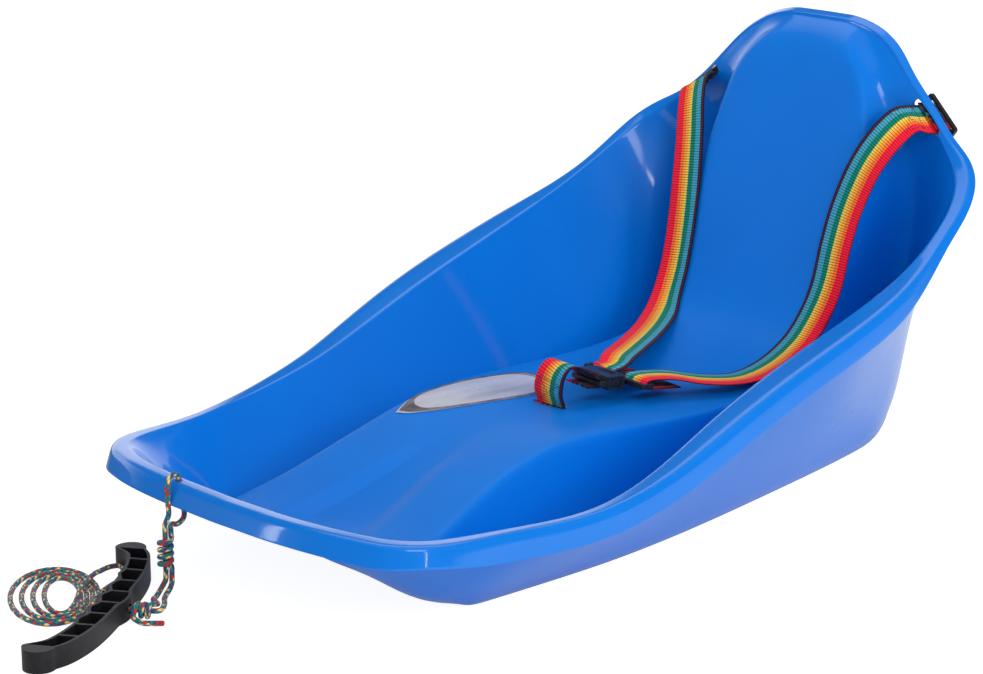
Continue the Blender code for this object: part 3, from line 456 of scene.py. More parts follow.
def braided_rope():
    """A braid of strands that cross both ways, teal and blue with red and pale flecks."""
    s = Surface("braided_rope", (0.03, 0.17, 0.24), 0.75, Sheen_Weight=0.2)
    along, around = s.uv()
    turns = s.math("MULTIPLY", around, float(BRAID_STRANDS))
    travel = s.math("MULTIPLY", along, BRAID_STRANDS / BRAID_PITCH)
    right = s.math("ADD", travel, turns)
    left = s.math("SUBTRACT", travel, turns)
    right_strand = s.math("FLOOR", right)
    left_strand = s.math("FLOOR", left)
    over = s.math("GREATER_THAN", s.math("PINGPONG", s.math("ADD", right_strand, left_strand), 1.0), 0.5)
    right_fleck, left_fleck = [
        s.math("DIVIDE", s.math("FLOORED_MODULO", strand, FLECK_REPEAT), FLECK_REPEAT)
        for strand in (right_strand, left_strand)]
    teal, deep = (0.008, 0.20, 0.22), (0.010, 0.085, 0.26)
    red, pale = (0.62, 0.015, 0.02), (0.85, 0.62, 0.22)
    right_tone = s.ramp(right_fleck, ((0.0, red), (0.12, teal), (0.31, deep), (0.44, pale),
                                      (0.56, teal), (0.69, red), (0.81, teal)), "CONSTANT")
    left_tone = s.ramp(left_fleck, ((0.0, deep), (0.19, pale), (0.31, teal), (0.44, red),
                                    (0.56, teal), (0.81, pale), (0.94, deep)), "CONSTANT")
    tone = s.mix(over, left_tone, right_tone)
    right_bow = s.math("SINE", s.math("MULTIPLY", s.math("FRACT", right), pi))
    left_bow = s.math("SINE", s.math("MULTIPLY", s.math("FRACT", left), pi))
    bow = s.math("MULTIPLY", right_bow, left_bow)
    fuzz = s.noise(2500.0, 2.0)
    # Painted shade in the grooves between the strands and a painted highlight on their crowns, with a little
    # random fuzz
    shade = s.ramp(s.math("MULTIPLY_ADD", fuzz, 0.2, bow), ((0.0, 0.30), (0.45, 1.0), (1.0, 1.25)))
    s.colour(s.mix(1.0, tone, shade, "MULTIPLY"))
    s.bump(bow, 0.0004, 0.9)
    return s.material


def fused_tip():
    s = Surface("fused_tip", (0.42, 0.02, 0.02), 0.35)
    melt = s.noise(900.0, 3.0)
    s.colour(s.ramp(melt, ((0.3, (0.30, 0.012, 0.014)), (0.7, (0.50, 0.03, 0.03)))))
    s.bump(melt, 0.0003, 0.5)
    return s.material


def silver_foil():
    """A plain satin label with soft bands of painted sheen and shade along it."""
    s = Surface("silver_foil", (0.62, 0.63, 0.70), 0.34, Metallic=0.25)
    bands = s.noise(16.0, 3.0, 0.6, s.stretched((1.6, 0.35, 1)))
    fine = s.noise(420.0, 2.0)
    tone = s.ramp(bands, ((0.32, (0.40, 0.42, 0.54)), (0.48, (0.62, 0.63, 0.72)),
                          (0.66, (0.74, 0.75, 0.82))))
    speck = s.ramp(fine, ((0.3, 0.93), (0.7, 1.04)))
    s.colour(s.mix(1.0, tone, speck, "MULTIPLY"))
    s.roughness(s.math("MULTIPLY_ADD", fine, 0.12, 0.26))
    s.bump(s.noise(60.0, 2.0), 0.0003, 0.3)
    return s.material


def label_border():
    s = Surface("label_border", (0.16, 0.13, 0.13), 0.4, Metallic=0.2)
    patch = s.noise(70.0, 3.0)
    s.colour(s.ramp(patch, ((0.35, (0.09, 0.08, 0.10)), (0.7, (0.30, 0.25, 0.24)))))
    return s.material


def dark_thread():
    s = Surface("dark_thread", (0.012, 0.010, 0.016), 0.8, Sheen_Weight=0.2)
    twist = s.noise(1800.0, 2.0)
    s.colour(s.ramp(twist, ((0.3, (0.006, 0.006, 0.010)), (0.7, (0.030, 0.026, 0.034)))))
    s.bump(twist, 0.0001, 0.6)
    return s.material


# Tub.  One row for each section: the middle of the panel (y, z), its edge, the inner and outer side
# of the gutter, the ridge of the rim, the rim's lean and its skirt

STATIONS = (
    ((0, 84), (58, 0, 85), (86, 1, 86), (113, 5, 86), (154, 19, 84), 0, 17),
    ((8, 67), (62, 10, 67), (90, 13, 67), (127, 22, 67), (171, 38, 82.5), 0, 15),
    ((28, 48), (79, 31, 48), (103, 35, 47), (132, 45, 47), (178, 68, 80.5), 0, 19),
    ((60, 37), (94, 62, 40), (105, 64, 23), (126, 70, 19), (183, 97, 79), 0, 21),
    ((98, 39), (104, 98, 42), (112, 98, 5), (132, 101, 3.5), (190, 128, 78), 0, 21),
    ((135, 48), (98, 135, 50), (110, 135, 3), (135, 135, 3), (198, 158, 78), 0, 21),
    ((175, 61), (91, 175, 65), (107, 175, 3), (138, 175, 3), (203, 192, 80), 0, 21),
    ((220, 74), (87, 220, 79), (106, 220, 3), (141, 220, 3), (203, 230, 87), 0, 21),
    ((270, 83), (89, 270, 89), (108, 270, 3), (143, 270, 3), (200, 272, 98), 0, 22),
    ((330, 81), (99, 330, 88), (110, 330, 3), (141, 330, 3), (198, 331, 122), 0, 23),
    ((395, 77), (106, 395, 84), (112, 395, 3), (136, 395, 3), (200, 396, 145), 0, 23),
    ((460, 76), (107, 460, 80.5), (110, 465, 3), (128, 468, 3), (203, 462, 164), 0, 23),
    ((525, 80), (100, 522, 82), (103, 540, 3), (119, 546, 3), (205, 522, 182), 4, 22),
    ((572, 92), (95, 568, 93), (94, 618, 3), (108, 624, 3), (203, 566, 197.5), 12, 12),
    ((602, 116), (93, 599, 117), (78, 690, 5), (94, 697, 5), (199, 603, 216), 22, 7),
    ((619, 152), (92, 616, 153), (79, 703, 42), (92, 702, 44), (193, 632, 233), 34, 6),
    ((630, 196), (91, 628, 196), (84, 706, 105), (98, 700, 110), (183, 655, 251.5), 46, 7),
    ((641, 240), (90, 639, 239), (92, 708, 170), (111, 701, 176), (168, 668, 264), 56, 6),
    ((652, 280), (87, 650, 278), (103, 700, 232), (123, 695, 238), (149, 677, 278), 64, 6),
    ((661, 313), (79, 658, 309), (100, 683, 286), (114, 685, 289), (129, 685, 297), 70, 6),
    ((668, 338), (66, 664, 333), (80, 675, 321), (91, 680, 321), (103, 685, 324), 76, 6),
    ((675, 353), (48, 671, 350), (60, 680, 343), (70, 685, 339), (88, 689, 341), 80, 7),
    ((690, 367), (34, 691, 366.5), (50, 692, 363), (63, 692, 358), (76, 691, 350), 84, 8),
)
# Half width and depth of the shallow trough in the floor, by row
TROUGH = {3: (54, 3.0), 4: (49, 5.0), 5: (41, 5.6), 6: (32, 4.8), 7: (22, 2.6)}
TROUGH_FLAT = 0.55
PLAIN_FLOOR = 0.45
# Width of the flange by row, and how far its lip stands above the ridge
FLANGE_WIDTHS = (13, 15, 14, 12, 10, 10, 12, 16, 21, 27, 28, 27, 23, 15, 9, 12, 13, 11, 5, 4, 3, 3, 3)
LIP_RISES = (0, 0, 0, 0, 0, 0.3, 0.9, 1.5, 2.3, 3.1, 3.4, 2.8, 2, 1, 0, 0, 0, 0, 0, 0, 0, 0, 0)
FRONT_SKIRT = 16.0
FRONT_FLARE = 1.5
EDGE_ROUND = 6.0
EDGE_DROP = 4.0
WALL_BULGE = 5.0
BULGE_LIMIT = 0.05
BULGES = {13: -5.0, 14: -11.0, 15: -13.0, 16: -9.0}
RIDGE_STEP = 10.0
RIDGE_LIMIT = 0.2
PANEL_COLUMNS = 4
FLOOR_POINT = (0, 300, 80)
# How sharp the ridge and the flange are, then the lines of the runner, the panel's edge and the
# trough: how many columns from the middle, the first and last row, and how sharp
RIDGE_CREASE = 0.6
FLANGE_CREASE = 0.35
CREASES = (((5, 6), 4, 15, 1.0), ((PANEL_COLUMNS,), 3, 19, 0.35), ((1, 2), 3, 8, 0.9))
PLACES_PER_METRE = 20000


def corners_of(station):
    """The five drawn points of a row, in millimetres."""
    return [Vector(p) for p in ((0, *station[0]), *station[1:5])]


def section(station, trough, bulge):
    """Half a section in millimetres, from the middle out to the ridge."""
    middle, edge, inner, outer, ridge = corners_of(station)
    lean = radians(station[5])
    half, depth = trough
    down = Vector((0, sin(lean), -cos(lean)))
    flat = lerp(middle, edge, half * TROUGH_FLAT / edge.x) + down * depth
    brink = lerp(middle, edge, half / edge.x)
    inside = lerp(middle, edge, 1 - EDGE_ROUND / edge.x)
    rise = (ridge - outer).length
    wall = lerp(outer, ridge, 0.5) + Vector((min(bulge, rise * BULGE_LIMIT), 0, 0))
    below = ridge + (wall - ridge).normalized() * min(RIDGE_STEP, rise * RIDGE_LIMIT)
    return [middle + down * depth, flat, brink, inside, edge + down * EDGE_DROP, inner, outer, wall,
            below, ridge]


def end_section(station):
    """A section that is itself a stretch of the rim, so its points lie evenly along it."""
    middle, edge, inner, outer, ridge = corners_of(station)
    return [middle, *[lerp(middle, edge, t) for t in (0.2, 0.45, 0.72)], edge, inner, outer,
            *[lerp(outer, ridge, t) for t in (0.4, 0.75)], ridge]


def tub_rows():
    rows = []
    last = len(STATIONS) - 1
    for i, station in enumerate(STATIONS):
        if i in (0, last):
            half = end_section(station)
        else:
            trough = TROUGH.get(i, (station[1][0] * PLAIN_FLOOR, 0.0))
            half = section(station, trough, BULGES.get(i, WALL_BULGE))
        left = [Vector((-p.x, p.y, p.z)) for p in reversed(half[1:])]
        rows.append([at(*p) for p in left + half])
    return rows


def ring_of(rows):
    """The points of the ridge all round, each with its row."""
    last = len(rows) - 1
    return ([(p, 0) for p in rows[0]] + [(rows[i][-1], i) for i in range(1, last)]
            + [(p, last) for p in reversed(rows[last])]
            + [(rows[i][0], i) for i in range(last - 1, 0, -1)])


def tub_cage():
    """The tub's inner face as a grid, its border pulled out into the flange and down as the skirt."""
    rows = tub_rows()
    count = len(rows[0])
    lowest = min(p.z for row in rows for p in row)
    lift = UP * (WALL - lowest)
    rows = [[p + lift for p in row] for row in rows]
    deselect()
    bpy.ops.mesh.primitive_grid_add(x_subdivisions=count - 1, y_subdivisions=len(rows) - 1, size=1)
    tub = added("tub")
    order = sorted(tub.data.vertices, key=lambda v: (round(v.co.y, 4), round(v.co.x, 4)))
    panel = tub.data.attributes.new("panel", "FLOAT", "POINT")
    for i, row in enumerate(rows):
        for k, p in enumerate(row):
            vertex = order[i * count + k]
            vertex.co = p
            from_middle = abs(k - count // 2)
            on_panel = from_middle <= PANEL_COLUMNS and 0 < i < len(rows) - 1
            panel.data[vertex.index].value = float(on_panel)
    ring = ring_of(rows)
    total = len(ring)
    lips, hems = [], []
    for k, (p, i) in enumerate(ring):
        lean, height = STATIONS[i][5], STATIONS[i][6]
        if i == 0:
            height = lerp(FRONT_SKIRT, height, min(abs(p.x) / at(*STATIONS[0][4]).x, 1) ** 2)
        up = Vector((0, -sin(radians(lean)), cos(radians(lean))))
        out = (ring[(k + 1) % total][0] - ring[k - 1][0]).cross(up).normalized()
        lips.append(p + out * FLANGE_WIDTHS[i] * MM + UP * LIP_RISES[i] * MM)
        hems.append(lips[-1] + out * SKIRT_FLARE * (FRONT_FLARE if i == 0 else 1) - up * height * MM)
    pick(tub)
    bpy.ops.object.mode_set(mode="EDIT")
    bpy.ops.mesh.select_mode(type="EDGE")
    for before, after in (([p for p, i in ring], lips), (lips, hems)):
        shape = bmesh.from_edit_mesh(tub.data)
        bpy.ops.mesh.select_all(action="DESELECT")
        for edge in shape.edges:
            edge.select = edge.is_boundary
        bmesh.update_edit_mesh(tub.data)
        bpy.ops.mesh.extrude_region_move()
        shape = bmesh.from_edit_mesh(tub.data)
        for vertex in shape.verts:
            if vertex.select:
                k = min(range(total), key=lambda j: (before[j] - vertex.co).length_squared)
                vertex.co = after[k]
        bmesh.update_edit_mesh(tub.data)
    bpy.ops.mesh.select_all(action="SELECT")
    bpy.ops.mesh.normals_make_consistent(inside=False)
    shape = bmesh.from_edit_mesh(tub.data)
    floor_face = min(shape.faces, key=lambda f: (f.calc_center_median() - at(*FLOOR_POINT)).length)
    if floor_face.normal.z < 0:
        bpy.ops.mesh.flip_normals()
    shape = bmesh.from_edit_mesh(tub.data)
    crease_edges(shape, rows, ring, lips)
    bmesh.update_edit_mesh(tub.data)
    bpy.ops.object.mode_set(mode="OBJECT")
    return tub


def crease_edges(shape, rows, ring, lips):
    """Sharpen the edges of the runner, the panel and the trough, the ridge and the flange's lip."""
    crease = shape.edges.layers.float.get("crease_edge") or shape.edges.layers.float.new("crease_edge")
    middle = len(rows[0]) // 2
    creased = {}

    def mark(points, value, closed=False):
        pairs = list(zip(points, points[1:])) + ([(points[-1], points[0])] if closed else [])
        for a, b in pairs:
            creased[key_of((a + b) / 2)] = value

    def key_of(p):
        return tuple(round(c * PLACES_PER_METRE) for c in p)

    for columns, first, last, value in CREASES:
        for column in columns:
            for k in (middle - column, middle + column):
                mark([row[k] for row in rows[first:last]], value)
    mark([p for p, _ in ring], RIDGE_CREASE, closed=True)
    mark(lips, FLANGE_CREASE, closed=True)
    for edge in shape.edges:
        value = creased.get(key_of((edge.verts[0].co + edge.verts[1].co) / 2))
        if value:
            edge[crease] = value


def tree_of(piece):
    shape = piece.evaluated_get(bpy.context.evaluated_depsgraph_get()).to_mesh()
    return BVHTree.FromPolygons([v.co.copy() for v in shape.vertices],
                                [tuple(p.vertices) for p in shape.polygons])


def surface_under(tree, x, y):
    """The tub's inner face straight below a point of the plan."""
    return tree.ray_cast(Vector((x, y, ABOVE_ALL)), -UP)[0]


def slot_cutter(name, origin, run, normal, length, width, depth):
    tool = block(name, (length, width, depth))
    bevel_upright(tool, width * 0.45)
    return placed(tool, axes(run, normal.cross(run), origin))


SHOULDER_SLOT = (127, 680, 295)
SHOULDER_SLOT_RUN = Vector((0.745, -0.12, -0.65)).normalized()
CROTCH_SLOT = (0, 346, 80)
ABOVE_ALL = 0.4
SLOT_RUN = 0.001
SHOULDER_SLOT_ROOM = 0.0035
STOPPER_TUCK = 0.004
STOPPER_SLIP = 0.009
THROUGH = 0.03
ROPE_HOLE_AT = (-56, -6)
TUB_LEVELS = 3
TUB_EDGE = 0.0009


def slot_frame(tree, middle, run, side):
    run = Vector((run.x, run.y * side, run.z * side)).normalized()
    place, normal, _, _ = tree.find_nearest(middle)
    normal = (normal - run * normal.dot(run)).normalized()
    return place, run, normal


def make_tub(blue):
    tub = tub_cage()
    rounded_off(tub, TUB_LEVELS)
    tree = tree_of(tub)
    wall = tub.modifiers.new("wall", "SOLIDIFY")
    wall.thickness = WALL
    wall.offset = -1
    wall.use_even_offset = True
    wall.use_quality_normals = True
    apply_all(tub)
    anchors = {}
    for side, word in ((1, "left"), (-1, "right")):
        x, y, z = SHOULDER_SLOT
        slot, run, normal = slot_frame(tree, at(side * x, y, z), SHOULDER_SLOT_RUN, side)
        down = run.cross(normal)
        bar = stopper_middle("strap_stopper_" + word) + STOPPER_TUCK * normal + STOPPER_SLIP * down
        anchors["shoulder_strap_" + word] = (slot, run, normal, bar)
    slot, run, normal = slot_frame(tree, at(*CROTCH_SLOT), Vector((1, 0, 0)), 1)
    anchors["crotch_strap"] = (slot, run, normal, stopper_middle("strap_stopper_floor"))
    for name, (slot, run, normal, bar) in anchors.items():
        extra = SHOULDER_SLOT_ROOM if name.startswith("shoulder") else 0
        combined(tub, slot_cutter(name + "_slot", slot, run, normal, WEB_WIDTH + 2 * SLOT_PLAY + extra,
                                  WEB_THICKNESS * 2 + SLOT_PLAY + extra, THROUGH))
    hole = at(*ROPE_HOLE_AT, 0)
    rim = surface_under(tree, hole.x, hole.y)
    combined(tub, rod("rope_hole", ROPE_HOLE / 2, THROUGH, rim, sides=24))
    bevelled(tub, TUB_EDGE, segments=2, angle=40)
    finished(tub, blue, "sled", "sled_blue", "sled_shell", angle=50)
    return tree, anchors, rim


def stopper_middle(node):
    low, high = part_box(node)
    return (low + high) / 2


# Webbing

WEB_STEP = 0.0025
SHOULDER_TAIL = ((0.010, 0.0004), (0.022, 0.0006), (0.034, 0.0008))
WEB_COLUMNS = 12
THIN_EDGE = 0.55
# Angles at which webbing meets and leaves the bar that it is wrapped round
WRAP_FROM, WRAP_TO = 75, 285
# How far from its slot and its bar a shoulder strap keeps its drawn place
KEEP_BY_SLOT = 0.020
KEEP_BY_BAR = 0.030
SHOULDER_RUN = 0.006
SHOULDER_SEWN = 0.021
CROTCH_STEP = 0.0020
CROTCH_SEWN = 0.020


def along(p, a, b):
    d = b - a
    return min(max((p - a).dot(d) / max(d.length_squared, 1e-12), 0), 1)


def segment_gap(p, a, b):
    return (p - a.lerp(b, along(p, a, b))).length


def stand_off(tree, point, gap):
    """Move a point out along the wall's normal until it stands the gap off the wall."""
    place, normal, _, _ = tree.find_nearest(point)
    away = (point - place).dot(normal)
    return place + normal * gap if away < gap else point


def free_stretch(points, across, step):
    """Even points along a drawn stretch, with the width's direction carried along."""
    centres = smooth_path(points, step)
    knots = [Vector(p) for p in points]
    share = [Vector(a) for a in across]
    widths = []
    for c in centres:
        k = min(range(len(knots) - 1), key=lambda j: segment_gap(c, knots[j], knots[j + 1]))
        widths.append(share[k].lerp(share[k + 1], along(c, knots[k], knots[k + 1])).normalized())
    return centres, widths


def round_bar(centre, ahead, up, half_wide, half_high, begin, finish, steps=14):
    """Points of webbing bent round a bar's section, from one angle to another in degrees."""
    radius = hypot(half_wide, half_high) + WEB_THICKNESS / 2 + CLEARANCE * 1.5
    points = []
    for k in range(steps + 1):
        angle = radians(lerp(begin, finish, k / steps))
        points.append(centre + (ahead * cos(angle) + up * sin(angle)) * radius)
    return points


def anchor_loop(slot, normal, bar, lead):
    """Webbing from its sewn end through a slot, round a bar behind it and back out."""
    layer = WEB_THICKNESS / 2 + LAYER_GAP
    inside, outside = -normal * (WALL + SLOT_RUN), normal * SLOT_RUN
    turn = round_bar(bar, lead, -normal, GLIDE_BAR / 2, GLIDE_THICKNESS / 2, 180, 0)
    back = [slot - lead * layer + outside, slot - lead * layer + inside]
    out = [slot + lead * layer + inside, slot + lead * layer + outside]
    return [*back, *turn, *out]


def relaxed(points, passes):
    for _ in range(passes):
        points = [points[0], *[(a + b * 2 + c) / 4 for a, b, c in zip(points, points[1:], points[2:])],
                  points[-1]]
    return points


class Band:
    """A length of webbing: rows of points across it and the normal at each row."""

    def __init__(self, centres, across, tree=None, keep=None, red_side=1):
        self.rows, self.normals, self.run = [], [], [0.0]
        count = len(centres)
        for i, (c, w) in enumerate(zip(centres, across)):
            ahead = (centres[min(i + 1, count - 1)] - centres[max(i - 1, 0)]).normalized()
            n = w.cross(ahead).normalized()
            w = ahead.cross(n).normalized() * red_side
            row = [c + w * WEB_WIDTH * (k / WEB_COLUMNS - 0.5) for k in range(WEB_COLUMNS + 1)]
            if tree and not (keep and keep(c)):
                row = [stand_off(tree, p, WEB_THICKNESS / 2 + WEB_PLAY) for p in row]
            self.rows.append(row)
            self.normals.append(n)
            if i:
                self.run.append(self.run[-1] + (c - centres[i - 1]).length)
        if tree:
            columns = [relaxed(list(column), 3) for column in zip(*self.rows)]
            self.rows = [list(row) for row in zip(*columns)]

    def build(self, name, front, back):
        """The webbing as a solid whose two faces have their own material."""
        half = WEB_THICKNESS / 2
        verts, faces, sides, uvs = [], [], [], []
        width = WEB_COLUMNS + 1
        for row, n in zip(self.rows, self.normals):
            for lift in (half, -half):
                for k, p in enumerate(row):
                    thin = THIN_EDGE if k in (0, WEB_COLUMNS) else 1.0
                    verts.append(p + n * lift * thin)
        for i in range(len(self.rows) - 1):
            a, b = i * 2 * width, (i + 1) * 2 * width
            u0, u1 = self.run[i], self.run[i + 1]
            for k in range(WEB_COLUMNS):
                v0, v1 = k / WEB_COLUMNS, (k + 1) / WEB_COLUMNS
                faces.append((a + k, a + k + 1, b + k + 1, b + k))
                uvs.append(((u0, v0), (u0, v1), (u1, v1), (u1, v0)))
                sides.append(0)
                low_a, low_b = a + width + k, b + width + k
                faces.append((low_a + 1, low_a, low_b, low_b + 1))
                uvs.append(((u0, v1), (u0, v0), (u1, v0), (u1, v1)))
                sides.append(1)
            for k, v in ((0, 0.0), (WEB_COLUMNS, 1.0)):
                faces.append((a + k, b + k, b + width + k, a + width + k))
                uvs.append(((u0, v), (u1, v), (u1, v), (u0, v)))
                sides.append(0)
        last = (len(self.rows) - 1) * 2 * width
        for a, u in ((0, self.run[0]), (last, self.run[-1])):
            for k in range(WEB_COLUMNS):
                faces.append((a + k, a + width + k, a + width + k + 1, a + k + 1))
                uvs.append(((u, k / WEB_COLUMNS), (u, k / WEB_COLUMNS), (u, (k + 1) / WEB_COLUMNS),
                            (u, (k + 1) / WEB_COLUMNS)))
                sides.append(1)
        piece = mesh_piece(name, verts, faces, uvs)
        piece.data.materials.append(front)
        piece.data.materials.append(back)
        for polygon, side in zip(piece.data.polygons, sides):
            polygon.material_index = side
        return piece

    def spot(self, distance, share, lift):
        """The point so far along the webbing and across it, lifted off its front."""
        i = min(range(len(self.run)), key=lambda k: abs(self.run[k] - distance))
        column = share * WEB_COLUMNS
        k = min(int(column), WEB_COLUMNS - 1)
        return self.rows[i][k].lerp(self.rows[i][k + 1], column - k) + self.normals[i] * lift


def mesh_piece(name, verts, faces, uvs=None):
    """An object from its corners and faces, its faces turned outwards."""
    data = bpy.data.meshes.new(name)
    data.from_pydata([tuple(v) for v in verts], [], faces)
    if uvs:
        layer = data.uv_layers.new(name="UVMap")
        flat = [pair for face in uvs for pair in face]
        for corner, pair in zip(layer.data, flat):
            corner.uv = pair
    piece = bpy.data.objects.new(name, data)
    bpy.context.scene.collection.objects.link(piece)
    pick(piece)
    bpy.ops.object.mode_set(mode="EDIT")
    bpy.ops.mesh.select_all(action="SELECT")
    bpy.ops.mesh.normals_make_consistent(inside=False)
    bpy.ops.object.mode_set(mode="OBJECT")
    return piece


STITCH = 0.0021
STITCH_GAP = 0.0007
STITCH_FROM, STITCH_TO = 0.12, 0.88
THREAD = 0.00055
SEWN_FROM, SEWN_TO = 0.12, 0.88


def stitch_ends(start, finish, low, high):
    """Both ends of each stitch of a sewn box with a cross in it."""
    corners = [(start, low), (finish, low), (finish, high), (start, high)]
    lines = list(zip(corners, corners[1:] + corners[:1]))
    lines += [(corners[0], corners[2]), (corners[1], corners[3])]
    pairs = []
    for (u0, v0), (u1, v1) in lines:
        span = hypot(u1 - u0, (v1 - v0) * WEB_WIDTH)
        count = max(1, round(span / (STITCH + STITCH_GAP)))
        for k in range(count):
            a, b = (k + STITCH_FROM) / count, (k + STITCH_TO) / count
            pairs.append(((lerp(u0, u1, a), lerp(v0, v1, a)), (lerp(u0, u1, b), lerp(v0, v1, b))))
    return pairs


def stitched(name, band, start, finish, thread, lift_side=1):
    """Sewing thread that shows as short raised stitches."""
    verts, faces = [], []
    lift = WEB_THICKNESS / 2 * lift_side
    for first, second in stitch_ends(start, finish, SEWN_FROM, SEWN_TO):
        a = band.spot(*first, lift)
        b = band.spot(*second, lift)
        middle = band.spot((first[0] + second[0]) / 2, (first[1] + second[1]) / 2, lift)
        ahead = (b - a).normalized()
        up = (band.spot(*first, lift + 0.001 * lift_side) - a).normalized()
        wide = ahead.cross(up).normalized()
        base = len(verts)
        for p, size, rise in ((a, 0.3, 0.0), (middle, 1.0, 0.6), (b, 0.3, 0.0)):
            for x, y in ((-1, -0.5), (1, -0.5), (1, 0.6), (-1, 0.6)):
                verts.append(p + (wide * x * size + up * (y * size + rise)) * THREAD / 2)
        for ring in (0, 4):
            for k in range(4):
                j = (k + 1) % 4
                faces.append((base + ring + k, base + ring + j, base + ring + 4 + j, base + ring + 4 + k))
        faces.append((base, base + 1, base + 2, base + 3))
        faces.append((base + 11, base + 10, base + 9, base + 8))
    piece = mesh_piece(name, verts, faces)
    return finished(piece, thread, "sled", "striped_webbing", angle=60)


# Buckle, in its own frame: x across, y from the crotch strap to the shoulder straps

BUCKLE_AT = (16, 405, 96)
BUCKLE_WIDTH = WEB_WIDTH + 0.008
BUCKLE_BAR = 0.0034
BUCKLE_SLOT = 0.0062
HOUSING_BAR = 0.0040
MOUTH_Y = 0.0
FRONT_Y = MOUTH_Y - BUCKLE_LENGTH
CAVITY_FRONT = FRONT_Y + BUCKLE_BAR + BUCKLE_SLOT + 0.0030
PLATE_START = MOUTH_Y + CLEARANCE
PLATE_SLOT_START = PLATE_START + 0.0040
PLATE_SLOT_END = PLATE_SLOT_START + 0.0060
PLATE_END = PLATE_SLOT_END + BUCKLE_BAR
LOOP_SPACING = WEB_WIDTH + 0.008
PRONG_ROOT_X = 0.0105
PRONG_WIDTH = 0.0030
SOFT_EDGE = 0.0006
OVERSHOOT = 0.004
HOUSING_CORNER = 0.004
PLUG_CORNER = 0.0032
WINDOW_BACK = MOUTH_Y - 0.0060
WINDOW_FRONT = MOUTH_Y - 0.0160
TONGUE_WIDTH = 0.0090
TONGUE_HEIGHT = 0.0034
THUMB_RIBS = 3
GRIP_RIBS = 3
GRIP_RIB = (0.018, 0.0010, 0.0009)
GRIP_RIB_Y = MOUTH_Y - 0.0035
GRIP_RIB_PITCH = 0.0024


def buckle_frame():
    run = Vector((0.990, -0.140, 0.0)).normalized()
    ahead = Vector((0.135, 0.975, -0.10)).normalized()
    return axes(run, ahead, at(*BUCKLE_AT))


def make_housing(place, nylon):
    housing = block("housing", (BUCKLE_WIDTH, BUCKLE_LENGTH, BUCKLE_THICKNESS),
                    (0, (MOUTH_Y + FRONT_Y) / 2, 0))
    bevel_upright(housing, HOUSING_CORNER)
    step_length = BUCKLE_BAR + BUCKLE_SLOT + 0.0020
    step_y = FRONT_Y + (BUCKLE_BAR + BUCKLE_SLOT) / 2 - 0.0012
    step_z = (BUCKLE_THICKNESS + HOUSING_BAR) / 2
    inside = BUCKLE_THICKNESS - 2 * BUCKLE_WALL
    mouth_end = MOUTH_Y + OVERSHOOT
    mouth = block("mouth", (BUCKLE_WIDTH - 2 * BUCKLE_WALL * 1.6, mouth_end - CAVITY_FRONT, inside),
                  (0, (CAVITY_FRONT + mouth_end) / 2, 0))
    windows = block("windows", (BUCKLE_WIDTH * 2, WINDOW_BACK - WINDOW_FRONT, inside - 0.0002),
                    (0, (WINDOW_BACK + WINDOW_FRONT) / 2, 0))
    slot = block("slot", (WEB_WIDTH + SLOT_PLAY, BUCKLE_SLOT, BUCKLE_THICKNESS * 2),
                 (0, FRONT_Y + BUCKLE_BAR + BUCKLE_SLOT / 2, 0))
    for hollow in (mouth, windows, slot):
        combined(housing, hollow)
    for sign in (1, -1):
        combined(housing, block("step", (BUCKLE_WIDTH * 2, step_length, BUCKLE_THICKNESS),
                                (0, step_y, sign * step_z)))
    for k in range(GRIP_RIBS):
        rib = block("rib", GRIP_RIB, (0, GRIP_RIB_Y - GRIP_RIB_PITCH * k, BUCKLE_THICKNESS / 2))
        combined(housing, rib, "UNION")
    bevelled(housing, SOFT_EDGE, segments=3)
    placed(housing, place)
    return finished(housing, nylon, "buckle_half", "black_nylon", "buckle_housing")


def make_plug(place, nylon):
    width = LOOP_SPACING + WEB_WIDTH + SLOT_PLAY + 2 * BUCKLE_BAR
    plug = block("plug", (width, PLATE_END - PLATE_START, PLUG_PLATE),
                 (0, (PLATE_START + PLATE_END) / 2, 0))
    bevel_upright(plug, PLUG_CORNER)
    reach = -CAVITY_FRONT - 0.0030
    tongue = block("tongue", (TONGUE_WIDTH, reach + 0.002, TONGUE_HEIGHT), (0, -reach / 2 + 0.001, 0))
    combined(plug, tongue, "UNION")
    gap = (WEB_WIDTH + SLOT_PLAY, PLATE_SLOT_END - PLATE_SLOT_START, PLUG_PLATE * 3)
    for side in (-1, 1):
        combined(plug, block("gap", gap, (side * LOOP_SPACING / 2,
                                          (PLATE_SLOT_START + PLATE_SLOT_END) / 2, 0)))
    bevelled(plug, SOFT_EDGE, segments=3)
    placed(plug, place)
    return finished(plug, nylon, "sled", "black_nylon", "buckle_plug")


